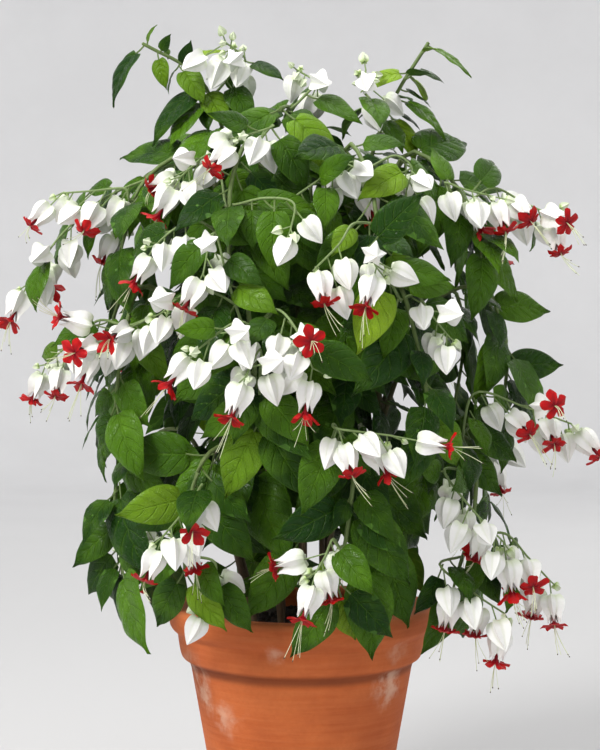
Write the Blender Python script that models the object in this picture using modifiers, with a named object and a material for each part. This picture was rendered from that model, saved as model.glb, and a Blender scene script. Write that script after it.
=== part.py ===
"""Bleeding heart vine in a round terracotta pot, in metres with +Z up.

The origin is the middle of the pot's flat base and the plant's front faces -Y.
Canes stand in holes in the soil. Each carries leafy shoots, and flower sprays spring from the shoots.
"""

import math
import random

import bmesh
import bpy
import numpy as np
from mathutils.bvhtree import BVHTree

# Pot, from the base up
POT_HEIGHT = 0.200
BASE_RADIUS = 0.065
LIP_RADIUS = 0.110
LIP_HEIGHT = 0.019
BAND_RADIUS = 0.1025
BAND_HEIGHT = 0.044
NECK_RADIUS = 0.0925
WALL = 0.009
FLOOR = 0.012
POT_SIDES = 24
DRAIN_RADIUS = 0.006
DRAIN_CIRCLE = 0.034
DRAIN_HOLES = 3
DRAIN_TURN = 30.0
EDGE_ROUND = 0.0025

# Soil
SOIL_TOP = 0.183
SOIL_CROWN = 0.003
ROOT_DEPTH = 0.035
HOLE_SIDES = 6
SEAT_GAP = 0.0003

# Canes and shoots: (distance from the pot's axis, height) of the points that each route passes
RING_CANES = 8
RING_RADIUS = 0.042
RING_TURN = 22.5
LEADER = ((0.050, 0.225), (0.062, 0.262), (0.070, 0.350), (0.062, 0.460))
HIGH_SHOOT = ((0.076, 0.545), (0.102, 0.573), (0.134, 0.545), (0.150, 0.487))
MIDDLE_SHOOT = ((0.070, 0.350), (0.104, 0.440), (0.140, 0.468), (0.164, 0.428), (0.170, 0.366))
LOW_SHOOT = ((0.062, 0.262), (0.100, 0.330), (0.138, 0.345), (0.158, 0.302), (0.152, 0.240))
MIDDLE_TURN = 12.0
LOW_TURN = -12.0
ROUTE_SPREAD = 0.006
ROUTE_START = 0.2
HIGH_TURN = 4.0
COLLAR_RISE = 0.006
TRUNK_POINTS = 10
SHOOT_POINTS = 6
CANE_THICKNESS = 0.0062
SHOOT_THICKNESS = 0.0042
TIP_THICKNESS = 0.0030

# Crown canes: (x, y, z) of the points that each passes above its root
CROWN = {
    "crown_left": ((-0.016, 0.002, 0.30), (-0.030, 0.0, 0.47), (-0.062, -0.004, 0.585),
                   (-0.084, -0.006, 0.635), (-0.106, -0.010, 0.659), (-0.130, -0.014, 0.662)),
    "crown_right": ((0.018, 0.004, 0.30), (0.034, 0.0, 0.45), (0.056, -0.006, 0.565),
                    (0.076, -0.008, 0.618), (0.090, -0.010, 0.642), (0.104, -0.012, 0.663)),
    "crown_front": ((0.002, -0.018, 0.30), (-0.004, -0.020, 0.47), (-0.006, -0.030, 0.575),
                    (-0.012, -0.056, 0.612), (-0.016, -0.088, 0.600)),
    "crown_back": ((0.0, 0.018, 0.30), (0.004, 0.022, 0.47), (0.010, 0.034, 0.580),
                   (0.014, 0.062, 0.612), (0.016, 0.094, 0.596)),
}
CROWN_THICKNESS = 0.0050

# Leaves
LEAF_LENGTH = 0.073
LEAF_WIDTH = 0.57
LEAF_THICKNESS = 0.0014
PETIOLE_LENGTH = 0.012
PETIOLE_SPREAD = (0.8, 1.5)
PETIOLE_MOST = 0.25
PETIOLE_LEAST = 0.10
PETIOLE_THICKNESS = 0.0010
TRIANGLE = ((-1.0, 0.0), (0.5, 0.87), (0.5, -0.87))
TRIANGLE_SHARE = 0.6
LEAF_SIZES = (0.84, 1.10)
LEAF_CURLS = (0.35, 0.85)
LEAF_FOLDS = (0.10, 0.30)
PLACED_CURL = 0.40
PLACED_FOLD = 0.16
LEAF_DROOP = 1.2
LEAF_DROOP_LOSS = 0.15
LEAF_LIFT = 0.22
LEAF_STRAY = 0.10
CHOSEN_STRAY = 0.02
STRAY_GROWTH = 0.055
UPPER_STRAY = 0.12
LATE_TRY = 9
LATE_SIZE = 0.82

# Nodes along a shoot: the last one's distance from the tip, the steps between them, the share
# of the full length of the youngest leaves, and the shares of side, out and run in a leaf's heading
TIP_INSET = 0.002
LEAF_STEP = 0.034
STEP_SHARES = (0.86, 0.06)
LEAF_NODES = 5
YOUNG_SHARES = (0.74, 0.13)
PAIR_HEADING = (0.80, 0.30)
OUTER_HEADING = (0.55, 0.75)

# Free crown shoots: each outer leaf's distance from the tip, heading and length
CROWN_LEAVES = {
    "crown_left": ((0.002, (-0.68, -0.10, -0.73), 0.050), (0.004, (0.20, -0.30, 0.90), 0.016),
                   (0.014, (0.20, -0.35, -0.90), 0.027), (0.024, (-0.10, 0.20, 1.00), 0.015),
                   (0.034, (0.40, -0.35, -0.80), 0.038), (0.034, (0.85, 0.20, 0.45), 0.034),
                   (0.062, (-0.55, -0.20, -0.85), 0.058), (0.062, (0.35, -0.65, -0.60), 0.040)),
    "crown_right": ((0.002, (0.85, -0.10, -0.50), 0.037), (0.003, (-0.30, 0.10, 0.90), 0.014),
                    (0.010, (0.40, -0.60, 0.20), 0.018), (0.028, (-0.85, -0.15, -0.40), 0.037),
                    (0.030, (0.50, 0.70, -0.30), 0.034), (0.052, (0.90, -0.15, -0.40), 0.046),
                    (0.052, (-0.88, 0.20, -0.40), 0.032), (0.066, (0.55, -0.45, -0.65), 0.044)),
}

# Leaves that hang free at the edge of the plant: base and tip of the blade, and its length
PLACED_LEAVES = (
    ((-0.106, -0.086, 0.248), (-0.129, -0.106, 0.178), 0.075),
    ((0.038, -0.105, 0.230), (0.056, -0.142, 0.176), 0.068),
    ((-0.161, -0.030, 0.288), (-0.191, -0.034, 0.236), 0.062),
    ((-0.129, -0.050, 0.309), (-0.144, -0.056, 0.251), 0.062),
    ((-0.099, -0.080, 0.390), (-0.156, -0.084, 0.326), 0.085),
    ((0.168, -0.020, 0.497), (0.208, -0.026, 0.447), 0.064),
    ((0.178, -0.020, 0.451), (0.218, -0.026, 0.402), 0.064),
    ((0.134, -0.060, 0.348), (0.164, -0.066, 0.296), 0.062),
    ((-0.084, -0.030, 0.622), (-0.113, -0.036, 0.580), 0.052),
    ((0.024, -0.165, 0.512), (0.023, -0.178, 0.484), 0.032),
    ((0.060, -0.090, 0.250), (0.084, -0.118, 0.196), 0.066),
    ((-0.030, -0.100, 0.260), (-0.040, -0.128, 0.204), 0.060),
)

# Each station of a blade or calyx: its share of the length and of the full half width
LEAF_STATIONS = ((0.24, 0.94), (0.62, 0.74), (1.0, 0.0))
CLOSED_STATIONS = ((0.17, 0.95), (0.56, 0.78))
OPEN_STATIONS = ((0.22, 1.0), (0.86, 0.30))

# Flowers
CALYX_LENGTH = 0.0240
CALYX_RADIUS = 0.0094
COROLLA_RADIUS = 0.0112
STAR_WAIST = 0.36
STAR_FALL = 0.16
STAR_BOSS = 0.0024
FLOWER_SIZES = (0.90, 1.05)
FLOWER_SPIN = 1.2
FLOWER_STRAY = (0.10, 0.028)
STALK_THICKNESS = 0.0024
PEDICEL_THICKNESS = 0.0010
PEDICEL_LENGTHS = (0.004, 0.013)
PEDICEL_STRETCH = 0.03

# A flower's wish: the shares of aside, outwards and along its stalk that go with straight down
ASIDE = 0.34
OUTWARDS = 0.30
ONWARDS = 0.10

# A spray's stalk: how far it leaves its stem squarely, its rise on the way, and its points
STALK_KNEE = 0.006
STALK_RISE = 0.006
STALK_BOW = 0.004
STALK_POINTS = 4
END_INSET = 0.0008
SEAT_SHARES = (0.3, 0.7)
SEAT_STEP = 2

# The canopy's middle and half sizes, which say which way is outwards
CANOPY_MIDDLE = 0.400
CANOPY_HALF = (0.19, 0.19, 0.24)

# How strongly leaves turn to the sky and to the light in front, which fades towards the back
SKY_PULL = 0.35
FRONT_PULL = 0.80
FRONT_SHARE = 0.70
FRONT_REACH = 0.15

# Sprays: where the flowers start and end, the number of calyces and how many have opened
SPRAYS = {
    "spray_crown_left": ((-0.043, -0.012, 0.646), (-0.062, -0.020, 0.662), 6, 0),
    "spray_crown_middle": ((0.020, -0.040, 0.622), (-0.004, -0.044, 0.636), 4, 0),
    "spray_crown_right": ((0.050, -0.030, 0.618), (0.052, -0.032, 0.638), 3, 0),
    "spray_upper_middle": ((-0.014, -0.118, 0.584), (-0.044, -0.122, 0.574), 5, 1),
    "spray_upper_left": ((-0.064, -0.105, 0.566), (-0.092, -0.115, 0.544), 6, 3),
    "spray_left_high": ((-0.138, -0.062, 0.540), (-0.190, -0.062, 0.536), 7, 3),
    "spray_left_far": ((-0.188, -0.035, 0.512), (-0.222, -0.035, 0.464), 7, 2),
    "spray_left_low": ((-0.118, -0.100, 0.436), (-0.160, -0.096, 0.416), 7, 4),
    "spray_left_tail": ((-0.160, -0.066, 0.436), (-0.204, -0.058, 0.400), 6, 3),
    "spray_left_middle": ((-0.084, -0.150, 0.456), (-0.104, -0.150, 0.440), 4, 0),
    "spray_left_inner": ((-0.088, -0.142, 0.508), (-0.110, -0.140, 0.490), 4, 1),
    "spray_left_front": ((-0.066, -0.160, 0.502), (-0.072, -0.168, 0.468), 4, 1),
    "spray_front_left": ((-0.036, -0.192, 0.440), (-0.074, -0.190, 0.414), 6, 1),
    "spray_front_low": ((-0.030, -0.200, 0.414), (-0.040, -0.204, 0.394), 4, 1),
    "spray_front_right": ((-0.010, -0.196, 0.440), (0.008, -0.204, 0.400), 6, 2),
    "spray_front_high": ((-0.001, -0.172, 0.516), (-0.008, -0.176, 0.500), 2, 0),
    "spray_centre": ((0.026, -0.182, 0.488), (0.010, -0.188, 0.472), 3, 1),
    "spray_centre_right": ((0.044, -0.182, 0.490), (0.054, -0.188, 0.472), 4, 1),
    "spray_top_right": ((0.056, -0.112, 0.566), (0.042, -0.114, 0.546), 5, 1),
    "spray_top_far": ((0.084, -0.106, 0.556), (0.080, -0.112, 0.534), 4, 1),
    "spray_right_high": ((0.110, -0.080, 0.542), (0.150, -0.078, 0.532), 6, 2),
    "spray_right_tail": ((0.156, -0.050, 0.540), (0.198, -0.050, 0.520), 6, 3),
    "spray_right_middle": ((0.088, -0.148, 0.450), (0.108, -0.150, 0.424), 4, 0),
    "spray_low_middle": ((0.018, -0.194, 0.358), (0.064, -0.194, 0.352), 6, 3),
    "spray_right": ((0.142, -0.080, 0.378), (0.212, -0.078, 0.354), 8, 4),
    "spray_right_low": ((0.110, -0.118, 0.314), (0.154, -0.120, 0.266), 8, 3),
    "spray_right_trail": ((0.158, -0.090, 0.270), (0.194, -0.090, 0.232), 6, 4),
    "spray_rim_right": ((0.108, -0.116, 0.244), (0.156, -0.112, 0.210), 6, 3),
    "spray_bottom_left": ((-0.074, -0.166, 0.310), (-0.102, -0.166, 0.276), 6, 3),
    "spray_rim_left": ((-0.064, -0.134, 0.244), (-0.073, -0.136, 0.222), 2, 0),
    "spray_bottom_middle": ((0.022, -0.166, 0.270), (0.010, -0.172, 0.250), 4, 3),
}
BACK_SPRAYS = 9
BACK_TURNS = (82.0, 278.0)
BACK_HEIGHTS = (0.53, 0.34, 0.44, 0.26)
BACK_REACH = 0.186
BACK_TAPER = 0.35
BACK_SWEEP = (-3.0, 6.0)
BACK_DROPS = (0.012, -0.020)
BACK_OUT = 0.012
BACK_CALYCES = 4
BACK_OPENED = 1

# Growth: the room kept between pieces, the first stretch of a stalk that may touch its own node,
# and how many turns a piece is tried in
SEED = 17
CLEARANCE = 0.0009
GUARD_CORNER = 1.3
STEM_SKIN = 0.0004
STALK_SKIN = 0.0002
LEAF_GUARD = 0.0046
LEAF_GUARD_SHARE = 0.8
LEAF_MARGIN = 1.05
FLOWER_GUARD = 0.003
FOOT_GUARD = 0.0018
LEAF_TRIES = 14
FLOWER_TRIES = 44
PLACE_TRIES = 24
SEAT_TRIES = 80
MOST_PIECES = 6000
POT_ROOM = 0.002
POT_MARGIN = 1.02
DOWN = np.array([0.0, 0.0, -1.0])


def unit(vector):
    return vector / np.linalg.norm(vector)


def around(azimuth, radius, height):
    """A point by its turn from the front, its distance from the pot's axis and its height."""
    turn = math.radians(azimuth)
    return np.array([radius * math.sin(turn), -radius * math.cos(turn), height])


def outward(point):
    """The way out of the canopy at a point, square to an ellipsoid through it."""
    offset = point - np.array([0.0, 0.0, CANOPY_MIDDLE])
    return unit(offset / np.square(CANOPY_HALF))


def lightward(point):
    """Which way a leaf's upper side turns: outwards, up, and in front and at the sides to the light."""
    share = min(1.0, max(0.0, FRONT_SHARE - point[1] / FRONT_REACH))
    return outward(point) + np.array([0.0, -FRONT_PULL * share, SKY_PULL])


def spline(knots, count):
    """Evenly spread points on a smooth curve through the knots."""
    knots = np.asarray(knots, float)
    ends = np.vstack([2 * knots[0] - knots[1], knots, 2 * knots[-1] - knots[-2]])
    steps = np.linspace(0, 1, 12, endpoint=False)[:, None]
    pieces = []
    for a, b, c, d in zip(ends, ends[1:], ends[2:], ends[3:]):
        bend = 2 * a - 5 * b + 4 * c - d
        twist = 3 * b - a - 3 * c + d
        pieces.append(0.5 * (2 * b + (c - a) * steps + bend * steps**2 + twist * steps**3))
    fine = np.vstack(pieces + [knots[-1:]])
    run = np.concatenate([[0], np.cumsum(np.linalg.norm(np.diff(fine, axis=0), axis=1))])
    wanted = np.linspace(0, run[-1], count)
    return np.column_stack([np.interp(wanted, run, fine[:, k]) for k in range(3)])


def along(path, distance):
    """The point at a distance from the path's end, and the path's direction there."""
    for end, start in zip(path[::-1], path[-2::-1]):
        step = np.linalg.norm(end - start)
        if distance <= step:
            break
        distance -= step
    direction = unit(end - start)
    return end - direction * min(distance, step), direction


def loft(rings, zigzag=False):
    """Points and triangles of a closed skin over rings of points. A single point closes an end.

    The band between two rings is made by walking round both together. A zigzag band turns every
    second diagonal, so that both faces of a blade are split alike.
    """
    rings = [np.atleast_2d(ring) for ring in rings]
    starts = np.cumsum([0] + [len(ring) for ring in rings])
    faces = []
    for here, there, near, far in zip(starts, starts[1:], map(len, rings), map(len, rings[1:])):
        i = near if near == 1 else 0
        j = far if far == 1 else 0
        while i < near or j < far:
            later = (i + 0.5) / near - (j + 0.5) / far
            if abs(later) < 0.01:
                later = 0.01 if not (zigzag and i % 2) else -0.01
            if j < far and (i == near or later > 0):
                faces.append((here + i % near, there + (j + 1) % far, there + j))
                j += 1
            else:
                faces.append((here + i, here + (i + 1) % near, there + j % far))
                i += 1
    if len(rings[0]) > 1:
        faces += [(0, k + 1, k) for k in range(1, len(rings[0]) - 1)]
    if len(rings[-1]) > 1:
        last = starts[-2]
        faces += [(last, last + k, last + k + 1) for k in range(1, len(rings[-1]) - 1)]
    return np.vstack(rings), faces


def ring_about(middle, direction, radius, sides, turn=0.0):
    """A regular ring of points square to a direction."""
    side = unit(np.cross(direction, (0.31, 0.27, 0.91)))
    rise = np.cross(direction, side)
    angles = turn + 2 * math.pi * np.arange(sides) / sides
    return middle + radius * (np.outer(np.cos(angles), side) + np.outer(np.sin(angles), rise))


def tube_guard(path, radius):
    """A plain four-sided tube that fills the room of a stem, for keeping other pieces off it."""
    rings = []
    for k, point in enumerate(path):
        direction = unit(path[min(k + 1, len(path) - 1)] - path[max(k - 1, 0)])
        rings.append(ring_about(point, direction, radius * GUARD_CORNER, 4))
    return loft(rings)


def leaf_rings(leaf, thickness, grow=1.0, start=0.0):
    """Sections of a leaf: a three-sided stalk, then left margin, top, right margin and underside.

    The midrib is an arc that bends away from the upper side. The blade is folded up along it.
    """
    heading = leaf["heading"]
    upper = leaf["upper"]
    side = np.cross(heading, upper)
    length = leaf["length"]
    half = 0.5 * LEAF_WIDTH * length * grow
    stalk = TRIANGLE_SHARE * (PETIOLE_THICKNESS + thickness - LEAF_THICKNESS)
    base = leaf["root"] + heading * leaf["stalk"]
    rings = []
    for middle in (leaf["root"] + heading * start, base):
        rings.append(np.array([middle + (across * side + up * upper) * stalk for across, up in TRIANGLE]))
    for share, width in LEAF_STATIONS:
        angle = leaf["curl"] * share
        middle = base + length / leaf["curl"] * (math.sin(angle) * heading - (1 - math.cos(angle)) * upper)
        if width == 0:
            rings.append(middle)
            continue
        normal = math.cos(angle) * upper + math.sin(angle) * heading
        out = half * width * math.cos(leaf["fold"])
        lift = half * width * math.sin(leaf["fold"])
        rings.append(np.array([middle - side * out + normal * lift, middle + normal * thickness / 2,
                               middle + side * out + normal * lift, middle - normal * thickness / 2]))
    return rings


def flower_rings(flower, grow=0.0, start=0.0):
    """Sections of a flower: a three-sided stalk and a five-angled calyx with wide shoulders.

    A closed calyx ends in a point. An open one ends in a neck and the red five-lobed star.
    """
    axis = flower["axis"]
    turn = flower["turn"]
    size = flower["size"]
    top = flower["root"] + axis * flower["stalk"]
    thin = TRIANGLE_SHARE * PEDICEL_THICKNESS + grow
    rings = [ring_about(flower["root"] + axis * start, axis, thin, 3, turn),
             ring_about(top - axis * grow, axis, thin, 3, turn)]
    stations = OPEN_STATIONS if flower["opened"] else CLOSED_STATIONS
    for share, width in stations:
        middle = top + axis * (CALYX_LENGTH * size * share)
        rings.append(ring_about(middle, axis, CALYX_RADIUS * size * width + grow, 5, turn))
    tip = top + axis * (CALYX_LENGTH * size)
    if flower["opened"]:
        star = ring_about(tip, axis, 1.0, 10, turn) - tip
        lobes = np.arange(10)[:, None] % 2 == 0
        reach = np.where(lobes, 1.0, STAR_WAIST) * COROLLA_RADIUS * size + grow
        back = np.where(lobes, STAR_FALL, 0.0) * COROLLA_RADIUS * axis
        rings.append(tip + star * reach - back)
        rings.append(tip + axis * (STAR_BOSS + grow))
    else:
        rings.append(tip + axis * grow)
    return rings


class Growth:
    """What has grown so far, as small search trees, so that each new piece is set clear of it."""

    def __init__(self):
        self.trees = []
        self.owners = []
        self.lows = np.zeros((MOST_PIECES, 3))
        self.highs = np.zeros((MOST_PIECES, 3))

    def add(self, shape, owner):
        points, faces = shape
        number = len(self.trees)
        self.lows[number] = points.min(axis=0)
        self.highs[number] = points.max(axis=0)
        self.trees.append(BVHTree.FromPolygons(points.tolist(), faces))
        self.owners.append(owner)

    def hits(self, shape, spare=None):
        """How many placed pieces a shape crosses, leaving out those of one owner."""
        points, faces = shape
        number = len(self.trees)
        apart = self.lows[:number] > points.max(axis=0)
        apart |= self.highs[:number] < points.min(axis=0)
        near = [k for k in np.flatnonzero(~apart.any(axis=1)) if self.owners[k] != spare]
        if not near:
            return 0
        tree = BVHTree.FromPolygons(points.tolist(), faces)
        return sum(bool(tree.overlap(self.trees[k])) for k in near)

    def is_clear(self, rings, form, start, owner):
        """Whether a piece clears its own node from a little way out, and all others from its root."""
        if self.hits(loft(rings(*form, start), True)):
            return False
        return not self.hits(loft(rings(*form, 0.0), True), owner)

    def takes_leaf(self, leaf, owner):
        """Adds a leaf if it is clear."""
        start = min(LEAF_GUARD, LEAF_GUARD_SHARE * leaf["stalk"])
        if not self.is_clear(leaf_rings, (leaf, LEAF_THICKNESS + 2 * CLEARANCE, LEAF_MARGIN), start, owner):
            return False
        self.add(loft(leaf_rings(leaf, LEAF_THICKNESS, 1.0, start), True), owner)
        return True


def stem_radii(count, thick, thin):
    return np.linspace(thick, thin, count) / 2


def make_stems(growth):
    """Routes of all canes: name, and for each shoot of it the path, radii and whether it bears leaves."""
    rng = random.Random(SEED)
    canes = {}
    for k in range(RING_CANES):
        azimuth = RING_TURN + 360.0 * k / RING_CANES
        root = around(azimuth, RING_RADIUS, SOIL_TOP - ROOT_DEPTH)
        collar = around(azimuth, RING_RADIUS, SOIL_TOP + COLLAR_RISE)

        def turned(route, turn):
            knots = []
            for share, (radius, height) in zip(np.linspace(ROUTE_START, 1, len(route)), route):
                shift = share * rng.uniform(-1, 1) * ROUTE_SPREAD
                knots.append(around(azimuth + turn * share, radius + shift, height + shift))
            return knots

        leader = [around(azimuth, radius, height) for radius, height in LEADER]
        high = turned(HIGH_SHOOT, rng.uniform(-HIGH_TURN, HIGH_TURN))
        trunk = np.vstack([root, spline([collar] + leader + high, TRUNK_POINTS)])
        low = spline([leader[1]] + turned(LOW_SHOOT[1:], LOW_TURN), SHOOT_POINTS)
        middle = spline([leader[2]] + turned(MIDDLE_SHOOT[1:], MIDDLE_TURN), SHOOT_POINTS)
        canes[f"cane_{k + 1}"] = [
            (trunk, stem_radii(len(trunk), CANE_THICKNESS, TIP_THICKNESS)),
            (middle, stem_radii(len(middle), SHOOT_THICKNESS, TIP_THICKNESS)),
            (low, stem_radii(len(low), SHOOT_THICKNESS, TIP_THICKNESS)),
        ]
    for name, knots in CROWN.items():
        foot = np.array([knots[0][0], knots[0][1], 0.0])
        root = foot + (0, 0, SOIL_TOP - ROOT_DEPTH)
        collar = foot + (0, 0, SOIL_TOP + COLLAR_RISE)
        path = np.vstack([root, spline([collar, *knots], TRUNK_POINTS)])
        canes[name] = [(path, stem_radii(len(path), CROWN_THICKNESS, TIP_THICKNESS))]
    for name, shoots in canes.items():
        for path, radii in shoots:
            for a, b, radius in zip(path, path[1:], radii):
                growth.add(tube_guard(np.array([a, b]), radius + STEM_SKIN), name)
    return canes


def nearest_seat(canes, point, skip):
    """The stem point nearest to a place, passing over the first few choices if they were no good."""
    seats = []
    for name, shoots in canes.items():
        for path, radii in shoots:
            for k in range(len(path) // 2 - 1, len(path) - 1):
                for share in SEAT_SHARES:
                    seat = path[k] + (path[k + 1] - path[k]) * share
                    tangent = unit(path[k + 1] - path[k])
                    away = np.linalg.norm(seat - point)
                    seats.append((away, tuple(seat), tuple(tangent), radii[k], name))
    seats.sort()
    _, seat, tangent, radius, name = seats[skip]
    return np.array(seat), np.array(tangent), radius, name


def spray_places():
    """All sprays, with those at the sides and back set by a rule of turning and stepping heights."""
    places = dict(SPRAYS)
    for k in range(BACK_SPRAYS):
        share = k / (BACK_SPRAYS - 1)
        azimuth = BACK_TURNS[0] + (BACK_TURNS[1] - BACK_TURNS[0]) * share
        height = BACK_HEIGHTS[k % len(BACK_HEIGHTS)]
        reach = BACK_REACH - BACK_TAPER * abs(height - CANOPY_MIDDLE)
        start = around(azimuth + BACK_SWEEP[0], reach, height + BACK_DROPS[0])
        end = around(azimuth + BACK_SWEEP[1], reach + BACK_OUT, height + BACK_DROPS[1])
        places[f"spray_back_{k + 1}"] = (start, end, BACK_CALYCES, BACK_OPENED)
    return places


def stalk_route(seat, tangent, radius, start, end):
    """A stalk that leaves its stem squarely, rises a little, and then hangs through its flowers."""
    off = start - seat
    off = unit(off - tangent * off.dot(tangent))
    foot = seat + off * (radius + SEAT_GAP)
    knee = foot + off * STALK_KNEE
    middle = (knee + start) / 2 + np.array([0, 0, STALK_RISE]) + off * STALK_BOW
    route = spline([knee, middle, start, end], STALK_POINTS)
    return np.vstack([foot, route])


def grow_spray(canes, growth, name, place, rng):
    """One spray: its stalk and flowers, each turned until it clears its neighbours."""
    start = np.array(place[0])
    end = np.array(place[1])
    best = None
    for skip in range(0, SEAT_TRIES, SEAT_STEP):
        seat, tangent, radius, _ = nearest_seat(canes, start, skip)
        path = stalk_route(seat, tangent, radius, start, end)
        clear_of_seat = path[0] + FOOT_GUARD * unit(path[1] - path[0])
        hits = 0
        for a, b in zip([clear_of_seat, *path[1:]], path[1:]):
            hits += growth.hits(tube_guard(np.array([a, b]), STALK_THICKNESS / 2 + CLEARANCE))
        if best is None or hits < best[0]:
            best = (hits, path)
        if hits == 0:
            break
    path = best[1]
    spray = {"name": name, "path": path, "flowers": [], "hits": best[0]}
    for a, b in zip(path, path[1:]):
        growth.add(tube_guard(np.array([a, b]), STALK_THICKNESS / 2 + STALK_SKIN), name)
    calyces = place[2]
    opened = place[3]
    reach = np.linalg.norm(end - start)
    for k in range(calyces):
        share = k / max(calyces - 1, 1)
        root, run = along(path, END_INSET + reach * (1 - share))
        out = outward(root)
        side = unit(np.cross(run, out)) * (1 if k % 2 else -1)
        wish = unit(ASIDE * side + OUTWARDS * out + DOWN + ONWARDS * run)
        flower = {"root": root, "size": rng.uniform(*FLOWER_SIZES), "turn": rng.uniform(0, FLOWER_SPIN)}
        flower["opened"] = (k + 1) * opened // calyces > k * opened // calyces
        for attempt in range(FLOWER_TRIES):
            stray = np.array([rng.uniform(-1, 1) for _ in range(3)])
            flower["axis"] = unit(wish + stray * (FLOWER_STRAY[0] + FLOWER_STRAY[1] * attempt))
            flower["stalk"] = rng.uniform(*PEDICEL_LENGTHS) * (1 + PEDICEL_STRETCH * attempt)
            if growth.is_clear(flower_rings, (flower, CLEARANCE), FLOWER_GUARD, name):
                growth.add(loft(flower_rings(flower, 0.0, FLOWER_GUARD)), name)
                spray["flowers"].append(dict(flower))
                break
    return spray


def leaf_seats(path, chosen):
    """Where leaves stand on a shoot, from its tip back: root, heading, way out and length.

    Opposite pairs stand by turns across the shoot and outwards. The outer ones of a free crown
    shoot are set one by one, and its rule starts behind them.
    """
    for distance, heading, length in chosen:
        root, _ = along(path, distance)
        yield root, np.array(heading), outward(root), length, True
    first = chosen[-1][0] / LEAF_STEP + 1.0 if chosen else 0.0
    for node in range(LEAF_NODES - (2 if chosen else 0)):
        steps = first + node * (STEP_SHARES[0] + STEP_SHARES[1] * node)
        root, run = along(path, TIP_INSET + LEAF_STEP * steps)
        out = outward(root)
        side = unit(np.cross(run, out))
        length = LEAF_LENGTH * (1.0 if chosen else YOUNG_SHARES[0] + YOUNG_SHARES[1] * min(node, 2))
        if node % 2 == 0:
            for hand in (-1, 1):
                yield root, side * hand * PAIR_HEADING[0] + run * PAIR_HEADING[1], out, length, False
        else:
            yield root, out * OUTER_HEADING[0] + run * OUTER_HEADING[1], out, length, False


def grow_leaf(growth, owner, seat, rng):
    """One leaf, turned, lowered or made smaller until it crosses nothing, or left out."""
    root, heading, out, length, chosen = seat
    size = length * (1.0 if chosen else rng.uniform(*LEAF_SIZES))
    droop = 0.0 if chosen else LEAF_DROOP * (1 - LEAF_DROOP_LOSS * max(out[2], 0))
    lift = 0.0 if chosen else LEAF_LIFT
    for attempt in range(LEAF_TRIES):
        stray = np.array([rng.uniform(-1, 1) for _ in range(3)])
        wild = (CHOSEN_STRAY if chosen else LEAF_STRAY) + STRAY_GROWTH * attempt
        wish = unit(unit(heading) + DOWN * droop + out * lift + stray * wild)
        upper = lightward(root) + stray[::-1] * UPPER_STRAY
        upper = unit(upper - wish * upper.dot(wish))
        leaf = {
            "root": root,
            "heading": wish,
            "upper": upper,
            "stalk": min(PETIOLE_LENGTH * rng.uniform(*PETIOLE_SPREAD), PETIOLE_MOST * size),
            "length": size * (1.0 if attempt < LATE_TRY else LATE_SIZE),
            "curl": rng.uniform(*LEAF_CURLS),
            "fold": rng.uniform(*LEAF_FOLDS),
        }
        if growth.takes_leaf(leaf, owner):
            return leaf
    return None


def place_leaf(growth, canes, base, tip, size):
    """A leaf that hangs to a given tip, from the nearest stem whence it crosses nothing."""
    for skip in range(PLACE_TRIES):
        root, _, _, owner = nearest_seat(canes, np.array(base), skip)
        reach = np.linalg.norm(tip - root)
        heading = (tip - root) / reach
        upper = lightward(root)
        length = min(size, (1 - PETIOLE_LEAST) * reach)
        leaf = {"root": root, "heading": heading, "upper": unit(upper - heading * upper.dot(heading)),
                "stalk": reach - length, "length": length, "curl": PLACED_CURL, "fold": PLACED_FOLD}
        if growth.takes_leaf(leaf, owner):
            return owner, leaf
    return None, None


def pot_guard():
    """A plain turned form round the pot and its soil."""
    rings = []
    for radius, height in ((BASE_RADIUS, 0.0), (NECK_RADIUS + POT_ROOM, POT_HEIGHT - BAND_HEIGHT),
                           (LIP_RADIUS + POT_ROOM, POT_HEIGHT - BAND_HEIGHT),
                           (LIP_RADIUS + POT_ROOM, POT_HEIGHT + POT_ROOM)):
        middle = np.array([0, 0, height])
        rings.append(ring_about(middle, np.array([0, 0, 1.0]), radius * POT_MARGIN, POT_SIDES))
    return loft(rings)


def grow_plant(growth):
    """The whole plant: stems first, then the sprays, then leaves in the room that is left."""
    canes = make_stems(growth)
    growth.add(pot_guard(), "pot")
    sprays = []
    for number, (name, place) in enumerate(spray_places().items()):
        sprays.append(grow_spray(canes, growth, name, place, random.Random(SEED + number)))
    leaves = {name: [] for name in canes}
    for place in PLACED_LEAVES:
        owner, leaf = place_leaf(growth, canes, *place)
        if leaf:
            leaves[owner].append(leaf)
    for number, (name, shoots) in enumerate(canes.items()):
        rng = random.Random(SEED * 100 + number)
        for path, _ in shoots:
            for seat in leaf_seats(path, CROWN_LEAVES.get(name, ())):
                leaf = grow_leaf(growth, name, seat, rng)
                if leaf:
                    leaves[name].append(leaf)
    return canes, sprays, leaves


def clear_scene():
    for old in list(bpy.data.objects):
        bpy.data.objects.remove(old, do_unlink=True)


def material(name, colour, roughness):
    made = bpy.data.materials.new(name)
    made.use_nodes = True
    surface = made.node_tree.nodes["Principled BSDF"]
    surface.inputs["Base Color"].default_value = (*colour, 1.0)
    surface.inputs["Roughness"].default_value = roughness
    surface.inputs["Metallic"].default_value = 0.0
    return made


def mesh_object(name, shape, collection, finish=None):
    """An object from points and triangles, with its faces turned outwards."""
    points, faces = shape
    mesh = bpy.data.meshes.new(name)
    mesh.from_pydata([tuple(p) for p in points], [], faces)
    work = bmesh.new()
    work.from_mesh(mesh)
    bmesh.ops.recalc_face_normals(work, faces=work.faces)
    work.to_mesh(mesh)
    work.free()
    if finish:
        mesh.materials.append(finish)
    made = bpy.data.objects.new(name, mesh)
    collection.objects.link(made)
    return made


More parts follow.
